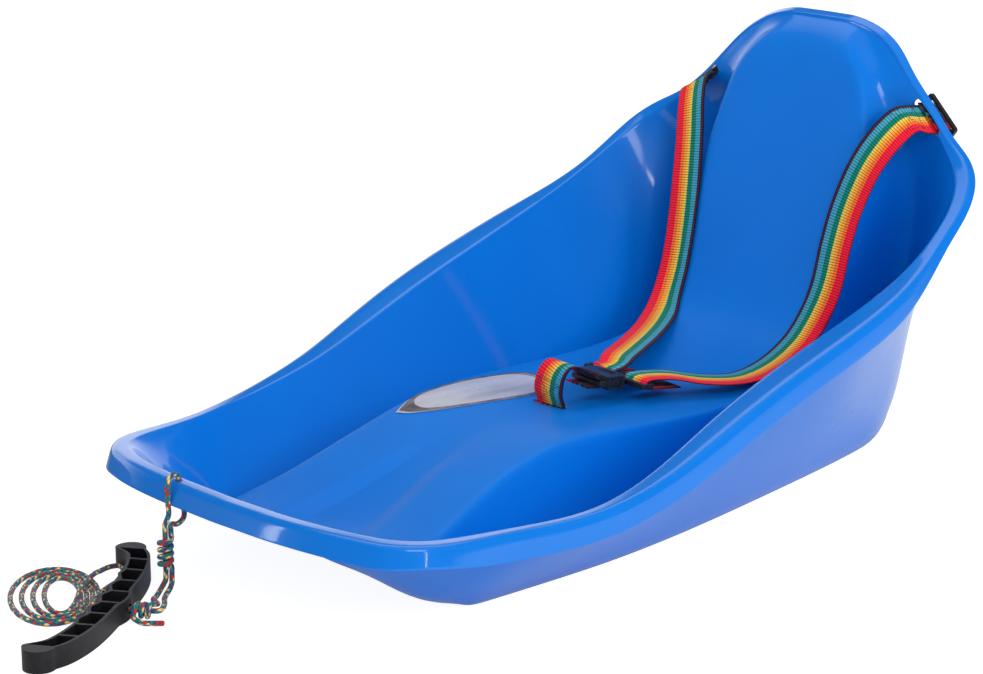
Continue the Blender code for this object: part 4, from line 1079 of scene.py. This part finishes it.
def make_prong(word, side, place, nylon):
    """A springy arm with a ribbed thumb pad that fills the housing's side window."""
    reach = BUCKLE_WIDTH / 2 - 0.0004
    inner = PRONG_ROOT_X - PRONG_WIDTH / 2
    outer = PRONG_ROOT_X + PRONG_WIDTH / 2
    back = WINDOW_BACK - CLEARANCE
    front = WINDOW_FRONT + CLEARANCE
    half = (BUCKLE_THICKNESS - 2 * BUCKLE_WALL) / 2 - 0.0005
    profile = [(inner, -CLEARANCE), (inner + 0.0010, back), (reach - 0.0042, front + 0.0010),
               (reach - 0.0030, front), (reach - 0.0008, front + 0.0014), (reach, front + 0.0032)]
    for k in range(THUMB_RIBS):
        y = lerp(front + 0.0036, back - 0.0008, k / (THUMB_RIBS - 1))
        profile += [(reach - 0.0004, y - 0.0005), (reach, y), (reach - 0.0004, y + 0.0005)]
    profile += [(outer + 0.0010, back + 0.0001), (outer, -CLEARANCE)]
    count = len(profile)
    verts = [place @ Vector((side * x, y, z)) for z in (-half, half) for x, y in profile]
    faces = [tuple(range(count)), tuple(range(count, 2 * count))]
    faces += [(k, (k + 1) % count, count + (k + 1) % count, count + k) for k in range(count)]
    prong = mesh_piece("prong_" + word, verts, faces)
    bevelled(prong, 0.0003, segments=2)
    return finished(prong, nylon, "prong_" + word, "black_nylon", "release_prong_" + word)


def make_stopper(word, run, normal, bar, nylon):
    """A three bar slide that stops the webbing behind its slot."""
    gap = WEB_THICKNESS * 2 + SLOT_PLAY
    length = WEB_WIDTH + 2 * (GLIDE_BAR + SLOT_PLAY)
    glide = block("stopper_" + word, (length, 3 * GLIDE_BAR + 2 * gap, GLIDE_THICKNESS))
    bevel_upright(glide, 0.003)
    for side in (-1, 1):
        combined(glide, block("gap", (WEB_WIDTH + SLOT_PLAY, gap, GLIDE_THICKNESS * 3),
                              (0, side * (GLIDE_BAR + gap) / 2, 0)))
    bevelled(glide, 0.0007, segments=3)
    placed(glide, axes(run, normal.cross(run), bar))
    return finished(glide, nylon, "sled", "black_nylon", "strap_stopper_" + word)


def make_straps(tree, place, anchors, front, back, thread):
    bar_y = PLATE_SLOT_END + BUCKLE_BAR / 2
    turn = place.to_3x3()
    wide, ahead, up = turn @ Vector((1, 0, 0)), turn @ Vector((0, 1, 0)), turn @ Vector((0, 0, 1))

    def near(x, y, z):
        return place.translation + Vector((x, y, z)) * MM

    for side, word in ((1, "left"), (-1, "right")):
        name = "shoulder_strap_" + word
        slot, run, normal, bar = anchors[name]
        lead = run.cross(normal) * side
        if lead.z > 0:
            lead = -lead
        anchored = anchor_loop(slot, normal, bar, lead)
        if run.x < 0:
            run = -run
        if side > 0:
            route = [at(121, 662, 296), at(111, 648, 281), at(97, 638, 254), at(85, 630, 217),
                     at(80, 622, 182), at(79, 612, 147), at(76, 596, 117), at(76, 568, 99),
                     at(80, 532, 91), at(80, 495, 89), near(51, 59, -4), near(33, 36, 1)]
            widths = [(0.86, 0.1, -0.44), (0.92, 0.1, -0.35), (0.97, 0.1, -0.2), (1, 0.1, -0.05),
                      (1, 0.1, 0), (1, 0.1, 0), (1, 0.08, 0), (1, 0, 0), (0.97, -0.15, 0),
                      (0.85, -0.5, 0), (0.80, -0.60, 0), (0.90, -0.42, 0)]
        else:
            route = [at(-121, 662, 296), at(-113, 649, 279), at(-106, 640, 252), at(-101, 631, 215),
                     at(-97, 622, 178), at(-93, 610, 142), at(-86, 590, 112), at(-70, 558, 100),
                     at(-46, 514, 99), near(-38, 63, 5), near(-25, 37, 6)]
            widths = [(0.86, 0.1, 0.44), (0.9, 0.06, 0.38), (0.97, 0.05, 0.2), (1, 0.08, 0.06),
                      (1, 0.1, 0), (1, 0.12, 0), (0.97, 0.25, 0), (0.86, 0.5, 0),
                      (0.86, 0.48, 0), (0.92, 0.35, 0), (0.98, 0.1, 0)]
        centre = place @ Vector((side * LOOP_SPACING / 2, bar_y, 0))
        wrap = round_bar(centre, ahead, up, BUCKLE_BAR / 2, PLUG_PLATE / 2, WRAP_FROM, WRAP_TO)
        leaves = anchored.pop()
        first = leaves + (route[0] - leaves).normalized() * SHOULDER_RUN + normal * SLOT_RUN
        before = wrap[0] + ahead * SHOULDER_RUN + up * 0.0008
        centres, across = free_stretch([leaves, first, *route, before], [run, run, *widths, wide],
                                       WEB_STEP)
        tail = smooth_path([wrap[-1] + ahead * reach - up * drop for reach, drop in SHOULDER_TAIL], WEB_STEP)
        points = [*anchored, *centres, *wrap, *tail]
        across = [run] * len(anchored) + across + [wide] * (len(wrap) + len(tail))
        keep = bounded_keep((bar, KEEP_BY_SLOT), (centre, KEEP_BY_BAR))
        band = Band(points, across, tree, keep, red_side=side)
        webbing = band.build("webbing_" + word, back, front)
        finished(webbing, None, "sled", "striped_webbing", name, angle=60)
        begin = length_of([*anchored, leaves]) + 0.008
        stitched("stitching_" + word, band, begin, begin + SHOULDER_SEWN, thread, -1)

    slot, run, normal, bar = anchors["crotch_strap"]
    lead = Vector((0, 1, 0))
    anchored = anchor_loop(slot, normal, bar, lead)
    leaves = anchored.pop()
    centre = place @ Vector((0, FRONT_Y + BUCKLE_BAR / 2, 0))
    wrap = round_bar(centre, -ahead, up, BUCKLE_BAR / 2, HOUSING_BAR / 2, WRAP_FROM, WRAP_TO)
    drawn = [leaves, slot + Vector((0.001, -0.003, 0.014)), slot + Vector((0.004, -0.001, 0.029)),
             slot + Vector((0.008, 0.008, 0.036)), wrap[0] - ahead * 0.005 + up * 0.0045]
    widths = [run, run, run.lerp(wide, 0.3), run.lerp(wide, 0.7), wide]
    centres, across = free_stretch(drawn, widths, CROTCH_STEP)
    tail = smooth_path([wrap[-1] - ahead * 0.002, wrap[-1] - ahead * 0.008 + up * 0.0002], CROTCH_STEP)
    points = [*anchored, *centres, *wrap, *tail]
    across = [run] * len(anchored) + across + [wide] * (len(wrap) + len(tail))
    band = Band(points, across, red_side=-1)
    webbing = finished(band.build("webbing_crotch", front, back), None, None, "striped_webbing",
                       "crotch_strap", angle=60)
    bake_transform(webbing)
    begin = length_of([*anchored, leaves]) + 0.002
    stitched("stitching_crotch", band, begin, begin + CROTCH_SEWN, thread)


def bounded_keep(*places):
    """Near its slots and bars the webbing keeps its drawn place."""
    return lambda p: any((p - c).length < reach for c, reach in places)


# Label on the floor

LABEL_LIFT = 0.0004
LABEL_OUTLINE = ((-74, 238), (-86, 270), (-88, 310), (-86, 350), (-80, 384), (-64, 398), (-40, 396),
                 (-28, 374), (-30, 325), (-42, 275), (-60, 246))
LABEL_TIP = 0.035
LABEL_STEP = 0.004
LABEL_FILM = 0.0003
LABEL_RINGS = 14
LABEL_HEART = 0.02


def make_label(tree, foil, border):
    """The label's face and, laid on it, its border and a thin line inside that."""
    corners = [at(x, y, 0) for x, y in LABEL_OUTLINE]
    outline = smooth_path([*corners, corners[0]], LABEL_STEP)[:-1]
    centre = sum(outline, Vector()) / len(outline)
    count = len(outline)

    def on_floor(p, lift):
        return surface_under(tree, p.x, p.y) + UP * lift

    def flat_ring(name, shares, lift, surface, *nodes, widened=0.0):
        verts = []
        for share in shares:
            for p in outline:
                near_tip = max(0.0, 1 - (p - outline[0]).length / LABEL_TIP)
                verts.append(on_floor(centre.lerp(p, 1 - (1 - share) * (1 + widened * near_tip)), lift))
        faces = [(i * count + k, i * count + (k + 1) % count, (i + 1) * count + (k + 1) % count,
                  (i + 1) * count + k) for i in range(len(shares) - 1) for k in range(count)]
        piece = mesh_piece(name, verts, faces)
        thick = piece.modifiers.new("thick", "SOLIDIFY")
        thick.thickness = LABEL_FILM
        thick.offset = 1
        apply_all(piece)
        return finished(piece, surface, "sled", "silver_label", *nodes)

    shares = [LABEL_HEART + (1 - LABEL_HEART) * k / LABEL_RINGS for k in range(LABEL_RINGS + 1)]
    flat_ring("label_face", shares, LABEL_LIFT, foil, "floor_label")
    flat_ring("label_outline", (0.955, 0.975, 0.992), LABEL_LIFT + LABEL_FILM, border, widened=4.0)
    flat_ring("label_inner_line", (0.905, 0.922), LABEL_LIFT + LABEL_FILM, border, widened=0.6)


# Tow handle, in its own frame: p along the grip, q out to the bowed side

HANDLE_MIDDLE = (1.0, -92.5)
HANDLE_CURL = 0.006
HANDLE_RUN = Vector((0.556, -0.831, 0))
HANDLE_OUT = Vector((0.831, 0.556, 0))
FINGER_PITCH = 0.024
FINGER_DEPTH = 0.0018
FINGER_WAVES = 2.2
BOW_POWER = 3.5
CURL_FROM = 0.80
CURL_SPAN = 0.20
GRIP_STEPS = 88
CAP_STEPS = 12
BAY_STEPS = 6
HORN_FROM = 0.78
HORN_REACH = 0.006
HUB_BUMP = 0.0035
HUB_HALF = 0.016
HUB_BORE_Z = 0.0080
HANDLE_BAYS = 9
PLAY_Z = 0.0004


def by_hole(x, y, z):
    """A point so many millimetres from the rope's hole, drawn z above the ground."""
    hole = at(*ROPE_HOLE_AT, z)
    return Vector((hole.x + x * MM, hole.y + y * MM, hole.z))


def handle_frame():
    return axes(HANDLE_RUN, HANDLE_OUT, by_hole(*HANDLE_MIDDLE, 0) + UP * PLAY_Z)


def bow(p):
    """The middle line of the grip: an arc whose ends curl back."""
    share = abs(p) / (HANDLE_LENGTH / 2)
    curl = max(0.0, share - CURL_FROM) / CURL_SPAN
    return HANDLE_BOW * (1 - share ** BOW_POWER) - HANDLE_CURL * curl ** 2


def outer_side(p):
    return bow(p) + HANDLE_GRIP / 2 + HUB_BUMP * max(0.0, 1 - (p / HUB_HALF) ** 2)


def inner_side(p):
    fingers = 0.0
    if abs(p) < FINGER_WAVES * FINGER_PITCH:
        fingers = FINGER_DEPTH * cos(2 * pi * p / FINGER_PITCH)
    horn = max(0.0, abs(p) / (HANDLE_LENGTH / 2) - HORN_FROM) / (1 - HORN_FROM)
    return bow(p) - HANDLE_GRIP / 2 - fingers - HORN_REACH * min(1.0, horn * 2) ** 2


def end_cap(p, side):
    """Points of the rounded end between the two sides of the grip."""
    top, bottom = Vector((p, outer_side(p), 0)), Vector((p, inner_side(p), 0))
    first = top if side > 0 else bottom
    centre = (top + bottom) / 2
    radius = (top - bottom).length / 2
    turn = atan2((first - centre).y, (first - centre).x)
    angles = [turn - pi * k / CAP_STEPS for k in range(1, CAP_STEPS)]
    return [centre + Vector((cos(angle), sin(angle), 0)) * radius for angle in angles]


def prism(name, outline, low, high, place):
    count = len(outline)
    verts = [place @ (p + UP * z) for z in (low, high) for p in outline]
    faces = [tuple(range(count)), tuple(range(count, 2 * count))]
    faces += [(k, (k + 1) % count, count + (k + 1) % count, count + k) for k in range(count)]
    return mesh_piece(name, verts, faces)


def make_handle(place, plastic):
    half = HANDLE_LENGTH / 2 - HANDLE_GRIP / 2
    stops = [half * (2 * k / GRIP_STEPS - 1) for k in range(GRIP_STEPS + 1)]
    outline = [Vector((p, outer_side(p), 0)) for p in stops] + end_cap(half, 1)
    outline += [Vector((p, inner_side(p), 0)) for p in reversed(stops)] + end_cap(-half, -1)
    handle = prism("handle", outline, 0, HANDLE_HEIGHT, place)
    pitch = 2 * half / HANDLE_BAYS
    for b in range(HANDLE_BAYS):
        start = -half + b * pitch + HANDLE_WALL / 2
        stop = start + pitch - HANDLE_WALL
        line = [lerp(start, stop, k / BAY_STEPS) for k in range(BAY_STEPS + 1)]
        loop = [Vector((p, outer_side(p) - HANDLE_WALL, 0)) for p in line]
        loop += [Vector((p, inner_side(p) + HANDLE_WALL, 0)) for p in reversed(line)]
        combined(handle, prism("bay", loop, HANDLE_WALL, HANDLE_HEIGHT * 1.5, place))
    bore = rod("bore", HANDLE_BORE / 2, HANDLE_GRIP * 4, (0, HANDLE_BOW, HUB_BORE_Z), (pi / 2, 0, 0))
    combined(handle, placed(bore, place))
    bevelled(handle, 0.0007, segments=2, angle=40)
    return finished(handle, plastic, "sled", "black_handle", "tow_handle", angle=40)


# Rope

KNOT_TOP = (4, -18, 51)
KNOT_BOTTOM = (4.5, -19, 10)
WIND_RADIUS = ROPE + 0.0005
KNOT_PITCH = 0.0056
KNOT_BEND = 0.0045
HITCH_PITCH = 0.0050
HITCH_START = 0.0165
LIE = ROPE / 2 + PLAY_Z
LOOP_POINTS = 24
ROPE_RING = 0.0009
ROPE_SIDES = 16
# The rope's cut ends are this share of its thickness, and grow to all of it at this rate
CUT_END = 0.72
CUT_TAPER = 220
FUSED_LENGTH = 0.005
BEND_STEPS = 6
HITCH_FROM = radians(115)
COIL_MIDDLE = (-44.5, -91.5)
COIL_LONG = 0.062
COIL_SHORT = 0.0365
COIL_STEP = 0.0066
COIL_DRIFT = 0.0020
COIL_START = radians(-40)
COIL_RUN = Vector((-0.81, 0.59, 0))
COIL_CROSS = Vector((0.59, 0.81, 0))


def rope_piece(name, points, surfaces, tip=0.0):
    """Rope as one round tube through its points, with the braid laid along it."""
    path = relaxed(even_points(points, ROPE_RING), 3)
    count = len(path)
    side = UP.cross((path[1] - path[0]).normalized())
    if side.length < 0.1:
        side = Vector((1, 0, 0))
    verts, faces, uvs, fused = [], [], [], []
    run = 0.0
    for i, p in enumerate(path):
        ahead = (path[min(i + 1, count - 1)] - path[max(i - 1, 0)]).normalized()
        side = (side - ahead * side.dot(ahead)).normalized()
        other = ahead.cross(side)
        near_end = min(i, count - 1 - i) * ROPE_RING
        radius = ROPE / 2 * min(1.0, CUT_END + near_end * CUT_TAPER)
        for k in range(ROPE_SIDES):
            angle = 2 * pi * k / ROPE_SIDES
            verts.append(p + (side * cos(angle) + other * sin(angle)) * radius)
    for i in range(count - 1):
        step = (path[i + 1] - path[i]).length
        for k in range(ROPE_SIDES):
            a, b = i * ROPE_SIDES, (i + 1) * ROPE_SIDES
            j = (k + 1) % ROPE_SIDES
            v0, v1 = k / ROPE_SIDES, (k + 1) / ROPE_SIDES
            faces.append((a + k, a + j, b + j, b + k))
            uvs.append(((run, v0), (run, v1), (run + step, v1), (run + step, v0)))
            fused.append((count - 1 - i) * ROPE_RING < tip)
        run += step
    for ring in (0, count - 1):
        faces.append(tuple(ring * ROPE_SIDES + k for k in range(ROPE_SIDES)))
        uvs.append([(run if ring else 0.0, 0.5)] * ROPE_SIDES)
        fused.append(bool(ring) and tip > 0)
    piece = mesh_piece(name, verts, faces, uvs)
    for surface in surfaces:
        piece.data.materials.append(surface)
    for polygon, melted in zip(piece.data.polygons, fused):
        polygon.material_index = 1 if melted else 0
    return piece, path


def rope_route(points, step):
    """Even points on a smooth curve, with its first and last runs straight as drawn."""
    return [points[0], *smooth_path(points[1:-1], step), points[-1]]


def winding(top, axis, side, turns, pitch, bend, straight):
    """A strand that comes down beside an axis, winds round it and goes on beside it."""
    other = axis.cross(side)
    slope = atan2(pitch, 2 * pi * WIND_RADIUS)
    sweep = pi / 2 - slope
    flat = [Vector((0, 0)), Vector((0, straight))]
    centre = Vector((bend, straight))
    for k in range(1, BEND_STEPS + 1):
        angle = pi - sweep * k / BEND_STEPS
        flat.append(centre + Vector((cos(angle), sin(angle))) * bend)
    count = round(turns * LOOP_POINTS)
    begin = flat[-1]
    for k in range(1, count + 1):
        t = k / count
        flat.append(begin + Vector((2 * pi * WIND_RADIUS * turns * t, pitch * turns * t)))
    last = flat[-1]
    centre = last + Vector((-sin(slope), cos(slope))) * bend
    for k in range(1, BEND_STEPS + 1):
        angle = -pi / 2 + slope + sweep * k / BEND_STEPS
        flat.append(centre + Vector((cos(angle), sin(angle))) * bend)
    flat.append(flat[-1] + Vector((0, straight)))
    points = []
    for around, down in flat:
        angle = around / WIND_RADIUS
        points.append(top + axis * down + (side * cos(angle) + other * sin(angle)) * WIND_RADIUS)
    return points


def coil_points():
    """A flat oval spiral that opens outwards, its ends straight for one diameter."""
    middle = by_hole(*COIL_MIDDLE, 0) + UP * LIE
    points = []
    for k in range(COIL_TURNS * LOOP_POINTS + 1):
        t = k / LOOP_POINTS
        angle = COIL_START - 2 * pi * t
        shrink = COIL_STEP * (COIL_TURNS - t)
        drift = COIL_CROSS * COIL_DRIFT * (COIL_TURNS - t)
        points.append(middle + drift + COIL_CROSS * cos(angle) * (COIL_SHORT - shrink)
                      + COIL_RUN * sin(angle) * (COIL_LONG - shrink))
    first = (points[0] - points[1]).normalized()
    last = (points[-1] - points[-2]).normalized()
    return [points[0] + first * ROPE, *points, points[-1] + last * ROPE]


def make_rope(rim, handle, surfaces):
    """Two lengths from the hole in the rim: a short one to the loose end, a long one to the coil."""

    def by_grip(p, q, z):
        return handle @ Vector((p * MM, q * MM, z * MM - PLAY_Z))

    def by_rim(x, y, z):
        return rim + Vector((x, y, z)) * MM

    # Heights of rope on the ground and of rope that crosses it, in millimetres
    lie = LIE * 1000
    over = lie + ROPE * 1000 + 0.9
    top = by_hole(*KNOT_TOP)
    axis = (by_hole(*KNOT_BOTTOM) - top).normalized()
    side = Vector((0.30, 0.95, 0))
    side = (side - axis * side.dot(axis)).normalized()
    wound = winding(top, axis, side, KNOT_TURNS - 0.15, KNOT_PITCH, KNOT_BEND, ROPE)
    depth = (wound[-1] - top).dot(axis)

    hub = handle @ Vector((0, outer_side(0), HUB_BORE_Z - PLAY_Z))
    hitch_top = hub + HANDLE_OUT * HITCH_START
    hitch = []
    for k in range(round(HITCH_TURNS * LOOP_POINTS) + 1):
        angle = HITCH_FROM - 2 * pi * k / LOOP_POINTS
        centre = hitch_top - HANDLE_OUT * HITCH_PITCH * k / LOOP_POINTS
        hitch.append(centre + (HANDLE_RUN * cos(angle) + UP * sin(angle)) * WIND_RADIUS)
    first = (hitch[0] - hitch[1]).normalized()
    last = (hitch[-1] - hitch[-2]).normalized()
    hitch = [hitch[0] + first * ROPE, *hitch, hitch[-1] + last * ROPE]

    q_hub = (outer_side(0) + HITCH_START) * 1000
    outer = [by_rim(0, 0, 0.1), by_rim(0, 0, 4.5), by_rim(0.5, -2.5, 7.2), by_rim(1.5, -7.5, 7.8),
             by_rim(2, -11.8, 4.0), by_rim(2, -13.0, -4), by_rim(2.5, -13.2, -13), by_rim(4, -14.0, -22),
             top - axis * 0.004, top, top + axis * depth * 0.5, top + axis * depth,
             top + axis * (depth + 0.003) + Vector((0.0006, -0.0016, 0)),
             by_grip(-50, 42.5, 6), by_grip(-36, 43.5, 5.5), by_grip(-22, 45.5, 8),
             hitch[0] + first * 0.006, hitch[0]]
    loose = [hitch[-1], hitch[-1] + last * 0.002, by_grip(9.6, q_hub - 8.5, 3.4),
             by_grip(11.6, q_hub - 3, lie), by_grip(11.0, q_hub + 4, lie),
             by_grip(9.6, q_hub + 10, lie), by_grip(9.0, q_hub + 13, lie)]
    points = [*rope_route(outer, ROPE_RING), *hitch[1:], *rope_route(loose, ROPE_RING)[1:]]
    piece, path = rope_piece("rope_short_length", points, surfaces, tip=FUSED_LENGTH)
    finished(piece, None, "sled", "braided_rope", "rope_outer_leg", "rope_hitch", "rope_loose_end",
             angle=60)

    inner = [by_rim(0, 0, -0.1), by_rim(0, 0, -6), by_rim(1, 0.3, -13), by_rim(4.5, 0.5, -21),
             by_rim(7.0, -2.0, -26.5), by_rim(6.0, -7.5, -30.5), wound[0] - axis * 0.004, wound[0]]
    coil = coil_points()
    into = (coil[1] - coil[0]).normalized()
    lead = [wound[-1], wound[-1] + axis * 0.004, by_grip(-51, 49.5, 6.6), by_grip(-36, 50.0, 5),
            by_grip(-20, 55, 6.5), by_grip(-9, q_hub + 6.5, 8), by_grip(-2.4, q_hub + 6.5, 8),
            by_grip(0, q_hub + 3, 8), by_grip(0, q_hub - 4, 8), by_grip(0, 30, 8), by_grip(0, 14, 8),
            by_grip(-1.5, 7, over + 1.0), by_grip(-9, 2.5, over + 0.8), by_grip(-24, 1.5, over + 0.2),
            by_grip(-40, 2.5, over - 0.2), by_grip(-58, 3, lie + 2.5), by_grip(-76, 1, lie + 0.4),
            by_grip(-92, -2.0, lie + 0.1), by_grip(-100.5, -8, lie + 0.1), by_grip(-94, -14.5, lie + 0.7),
            by_grip(-80, -16, over - 2.2), by_grip(-66, -17, over), by_grip(-48, -17.5, over + 0.1),
            by_grip(-32, -17, over - 0.2), coil[0] - into * 0.018 + UP * (ROPE + 0.001),
            coil[0] - into * 0.010 + UP * ROPE * 0.52, coil[0] - into * 0.004, coil[0]]
    out = (coil[-1] - coil[-2]).normalized()
    ending = [coil[-1], coil[-1] + out * 0.006]
    ending += [by_hole(x, y, 0) + UP * LIE for x, y in ((23, -110), (28.5, -120), (29, -130))]
    points = [*rope_route(inner, ROPE_RING), *wound[1:], *rope_route(lead, ROPE_RING)[1:], *coil[1:],
              *rope_route(ending, ROPE_RING)[1:]]
    piece, path = rope_piece("rope_long_length", points, surfaces)
    finished(piece, None, "sled", "braided_rope", "rope_inner_leg", "rope_knot", "rope_lead", "rope_coil",
             "rope_end", angle=60)


# Stage and light

def make_stage():
    """A pale floor that keeps a soft shadow, in a white room of which the plastic mirrors parts."""
    deselect()
    bpy.ops.mesh.primitive_plane_add(size=FLOOR_SIZE, location=(0, 0, -FLOOR_DROP))
    floor = added("floor")
    s = Surface("studio_white", FLOOR_WHITE, 0.95)
    ray = s.node("LightPath")
    seen, glossy = ray.outputs["Is Camera Ray"], ray.outputs["Is Glossy Ray"]
    split = s.node("SeparateXYZ")
    s.link(s.place(), split.inputs[0])
    ahead = s.math("MULTIPLY", s.math("ADD", split.outputs[0], split.outputs[1]), -0.707)
    unlit = s.math("MULTIPLY", s.ramp(ahead, ((0.25, 0.0), (0.60, 1.0))), glossy)
    s.colour(s.mix(seen, s.mix(unlit, FLOOR_WHITE, FLOOR_UNLIT), FLOOR_GREY))
    glow = s.node("Emission")
    mirrored = s.math("MULTIPLY", s.math("SUBTRACT", glossy, unlit), FLOOR_MIRRORED)
    s.link(s.math("MULTIPLY_ADD", seen, FLOOR_SEEN, mirrored), glow.inputs["Strength"])
    together = s.node("AddShader")
    s.link(s.shader.outputs[0], together.inputs[0])
    s.link(glow.outputs[0], together.inputs[1])
    s.link(together.outputs[0], s.tree.nodes["Material Output"].inputs["Surface"])
    floor.data.materials.append(s.material)
    deselect()
    world = bpy.data.worlds.new("studio")
    bpy.context.scene.world = world
    world.use_nodes = True
    tree = world.node_tree
    back = tree.nodes["Background"]
    back.inputs["Color"].default_value = (1, 1, 1, 1)
    sky = tree.nodes.new("ShaderNodeTexCoord").outputs["Generated"]
    split = tree.nodes.new("ShaderNodeSeparateXYZ")
    tree.links.new(sky, split.inputs[0])

    def ramped(value, begin, full, strength=1.0):
        made = tree.nodes.new("ShaderNodeMapRange")
        made.interpolation_type = "SMOOTHSTEP"
        for name, number in (("From Min", begin), ("From Max", full), ("To Min", 0.0), ("To Max", strength)):
            made.inputs[name].default_value = number
        tree.links.new(value, made.inputs["Value"])
        return made.outputs[0]

    def calculated(operation, a, b):
        made = tree.nodes.new("ShaderNodeMath")
        made.operation = operation
        tree.links.new(a, made.inputs[0])
        if isinstance(b, float):
            made.inputs[1].default_value = b
        else:
            tree.links.new(b, made.inputs[1])
        return made.outputs[0]

    mirrored = None
    for direction, begin, full, lowest, highest, strength in WHITE_WALLS:
        towards = tree.nodes.new("ShaderNodeVectorMath")
        towards.operation = "DOT_PRODUCT"
        tree.links.new(sky, towards.inputs[0])
        towards.inputs[1].default_value = direction
        wall = ramped(towards.outputs["Value"], begin, full, strength)
        wall = calculated("MULTIPLY", wall, ramped(split.outputs[2], highest + 0.1, highest - 0.1))
        wall = calculated("MULTIPLY", wall, ramped(split.outputs[2], lowest - 0.1, lowest + 0.1))
        mirrored = calculated("MAXIMUM", wall, mirrored or ROOM_DARK)
    ray = tree.nodes.new("ShaderNodeLightPath")
    choose = tree.nodes.new("ShaderNodeMix")
    tree.links.new(ray.outputs["Is Glossy Ray"], choose.inputs[0])
    fall = ramped(split.outputs[2], 0.05, 0.95, ROOM_SIDES - ROOM_ABOVE)
    sides = tree.nodes.new("ShaderNodeMath")
    sides.operation = "SUBTRACT"
    sides.inputs[0].default_value = ROOM_SIDES
    tree.links.new(fall, sides.inputs[1])
    tree.links.new(calculated("MAXIMUM", sides.outputs[0], ray.outputs["Is Camera Ray"]), choose.inputs[2])
    tree.links.new(mirrored, choose.inputs[3])
    tree.links.new(choose.outputs[0], back.inputs["Strength"])


def softbox(name, place, aim, wide, high, power, mirrored=True):
    data = bpy.data.lights.new(name, "AREA")
    data.shape = "RECTANGLE"
    data.size = wide
    data.size_y = high
    data.energy = power
    lamp = bpy.data.objects.new(name, data)
    lamp.location = place
    lamp.rotation_mode = "QUATERNION"
    lamp.rotation_quaternion = (Vector(aim) - Vector(place)).to_track_quat("-Z", "Y")
    lamp.visible_glossy = mirrored
    bpy.context.scene.collection.objects.link(lamp)


# Two panes of a window that the front skirt mirrors: place, width and power
WINDOW_PANES = ((-1.0015, -1.330, 0.017, 0.2), (-0.9652, -1.3643, 0.073, 0.9))


def make_light():
    softbox("key", (1.35, -0.72, 1.30), (0.1, 0.4, 0.3), 0.7, 0.6, 7)
    softbox("top", (-0.5, 0.5, 1.55), (0, 0.3, 0.2), 1.3, 0.9, 5)
    softbox("side", (2.0, 0.4, 1.3), (0, 0.1, 0.1), 0.7, 0.8, 12, mirrored=False)
    softbox("strip", (1.75, -0.66, 0.60), (-0.1, 0.3, 0.2), 0.07, 0.8, 2)
    for x, y, wide, power in WINDOW_PANES:
        softbox("window", (x, y, 0.26), (0.045, -0.28, 0.10), wide, 0.5, power)


def make_camera():
    data = bpy.data.cameras.new("camera")
    data.lens = LENS
    data.sensor_width = SENSOR
    camera = bpy.data.objects.new("camera", data)
    camera.location = CAMERA_AT
    camera.rotation_mode = "QUATERNION"
    camera.rotation_quaternion = CAMERA_AHEAD.to_track_quat("-Z", "Y")
    bpy.context.scene.collection.objects.link(camera)
    bpy.context.scene.camera = camera


make_camera()
make_stage()
make_light()
bpy.context.scene.view_settings.view_transform = "Standard"
nylon = black_nylon()
tub_tree, anchors, rim = make_tub(moulded_blue())
buckle = buckle_frame()
make_housing(buckle, nylon)
make_plug(buckle, nylon)
for prong_side, prong_word in ((1, "left"), (-1, "right")):
    make_prong(prong_word, prong_side, buckle, nylon)
for strap, stopper in (("shoulder_strap_left", "left"), ("shoulder_strap_right", "right"),
                       ("crotch_strap", "floor")):
    make_stopper(stopper, *anchors[strap][1:], nylon)
make_straps(tub_tree, buckle, anchors, striped_webbing("striped_webbing", RAINBOW),
            striped_webbing("webbing_back_painted_shade", SHADED_RAINBOW_BACK), dark_thread())
make_label(tub_tree, silver_foil(), label_border())
grip = handle_frame()
make_handle(grip, handle_plastic())
make_rope(rim - UP * WALL / 2, grip, (braided_rope(), fused_tip()))
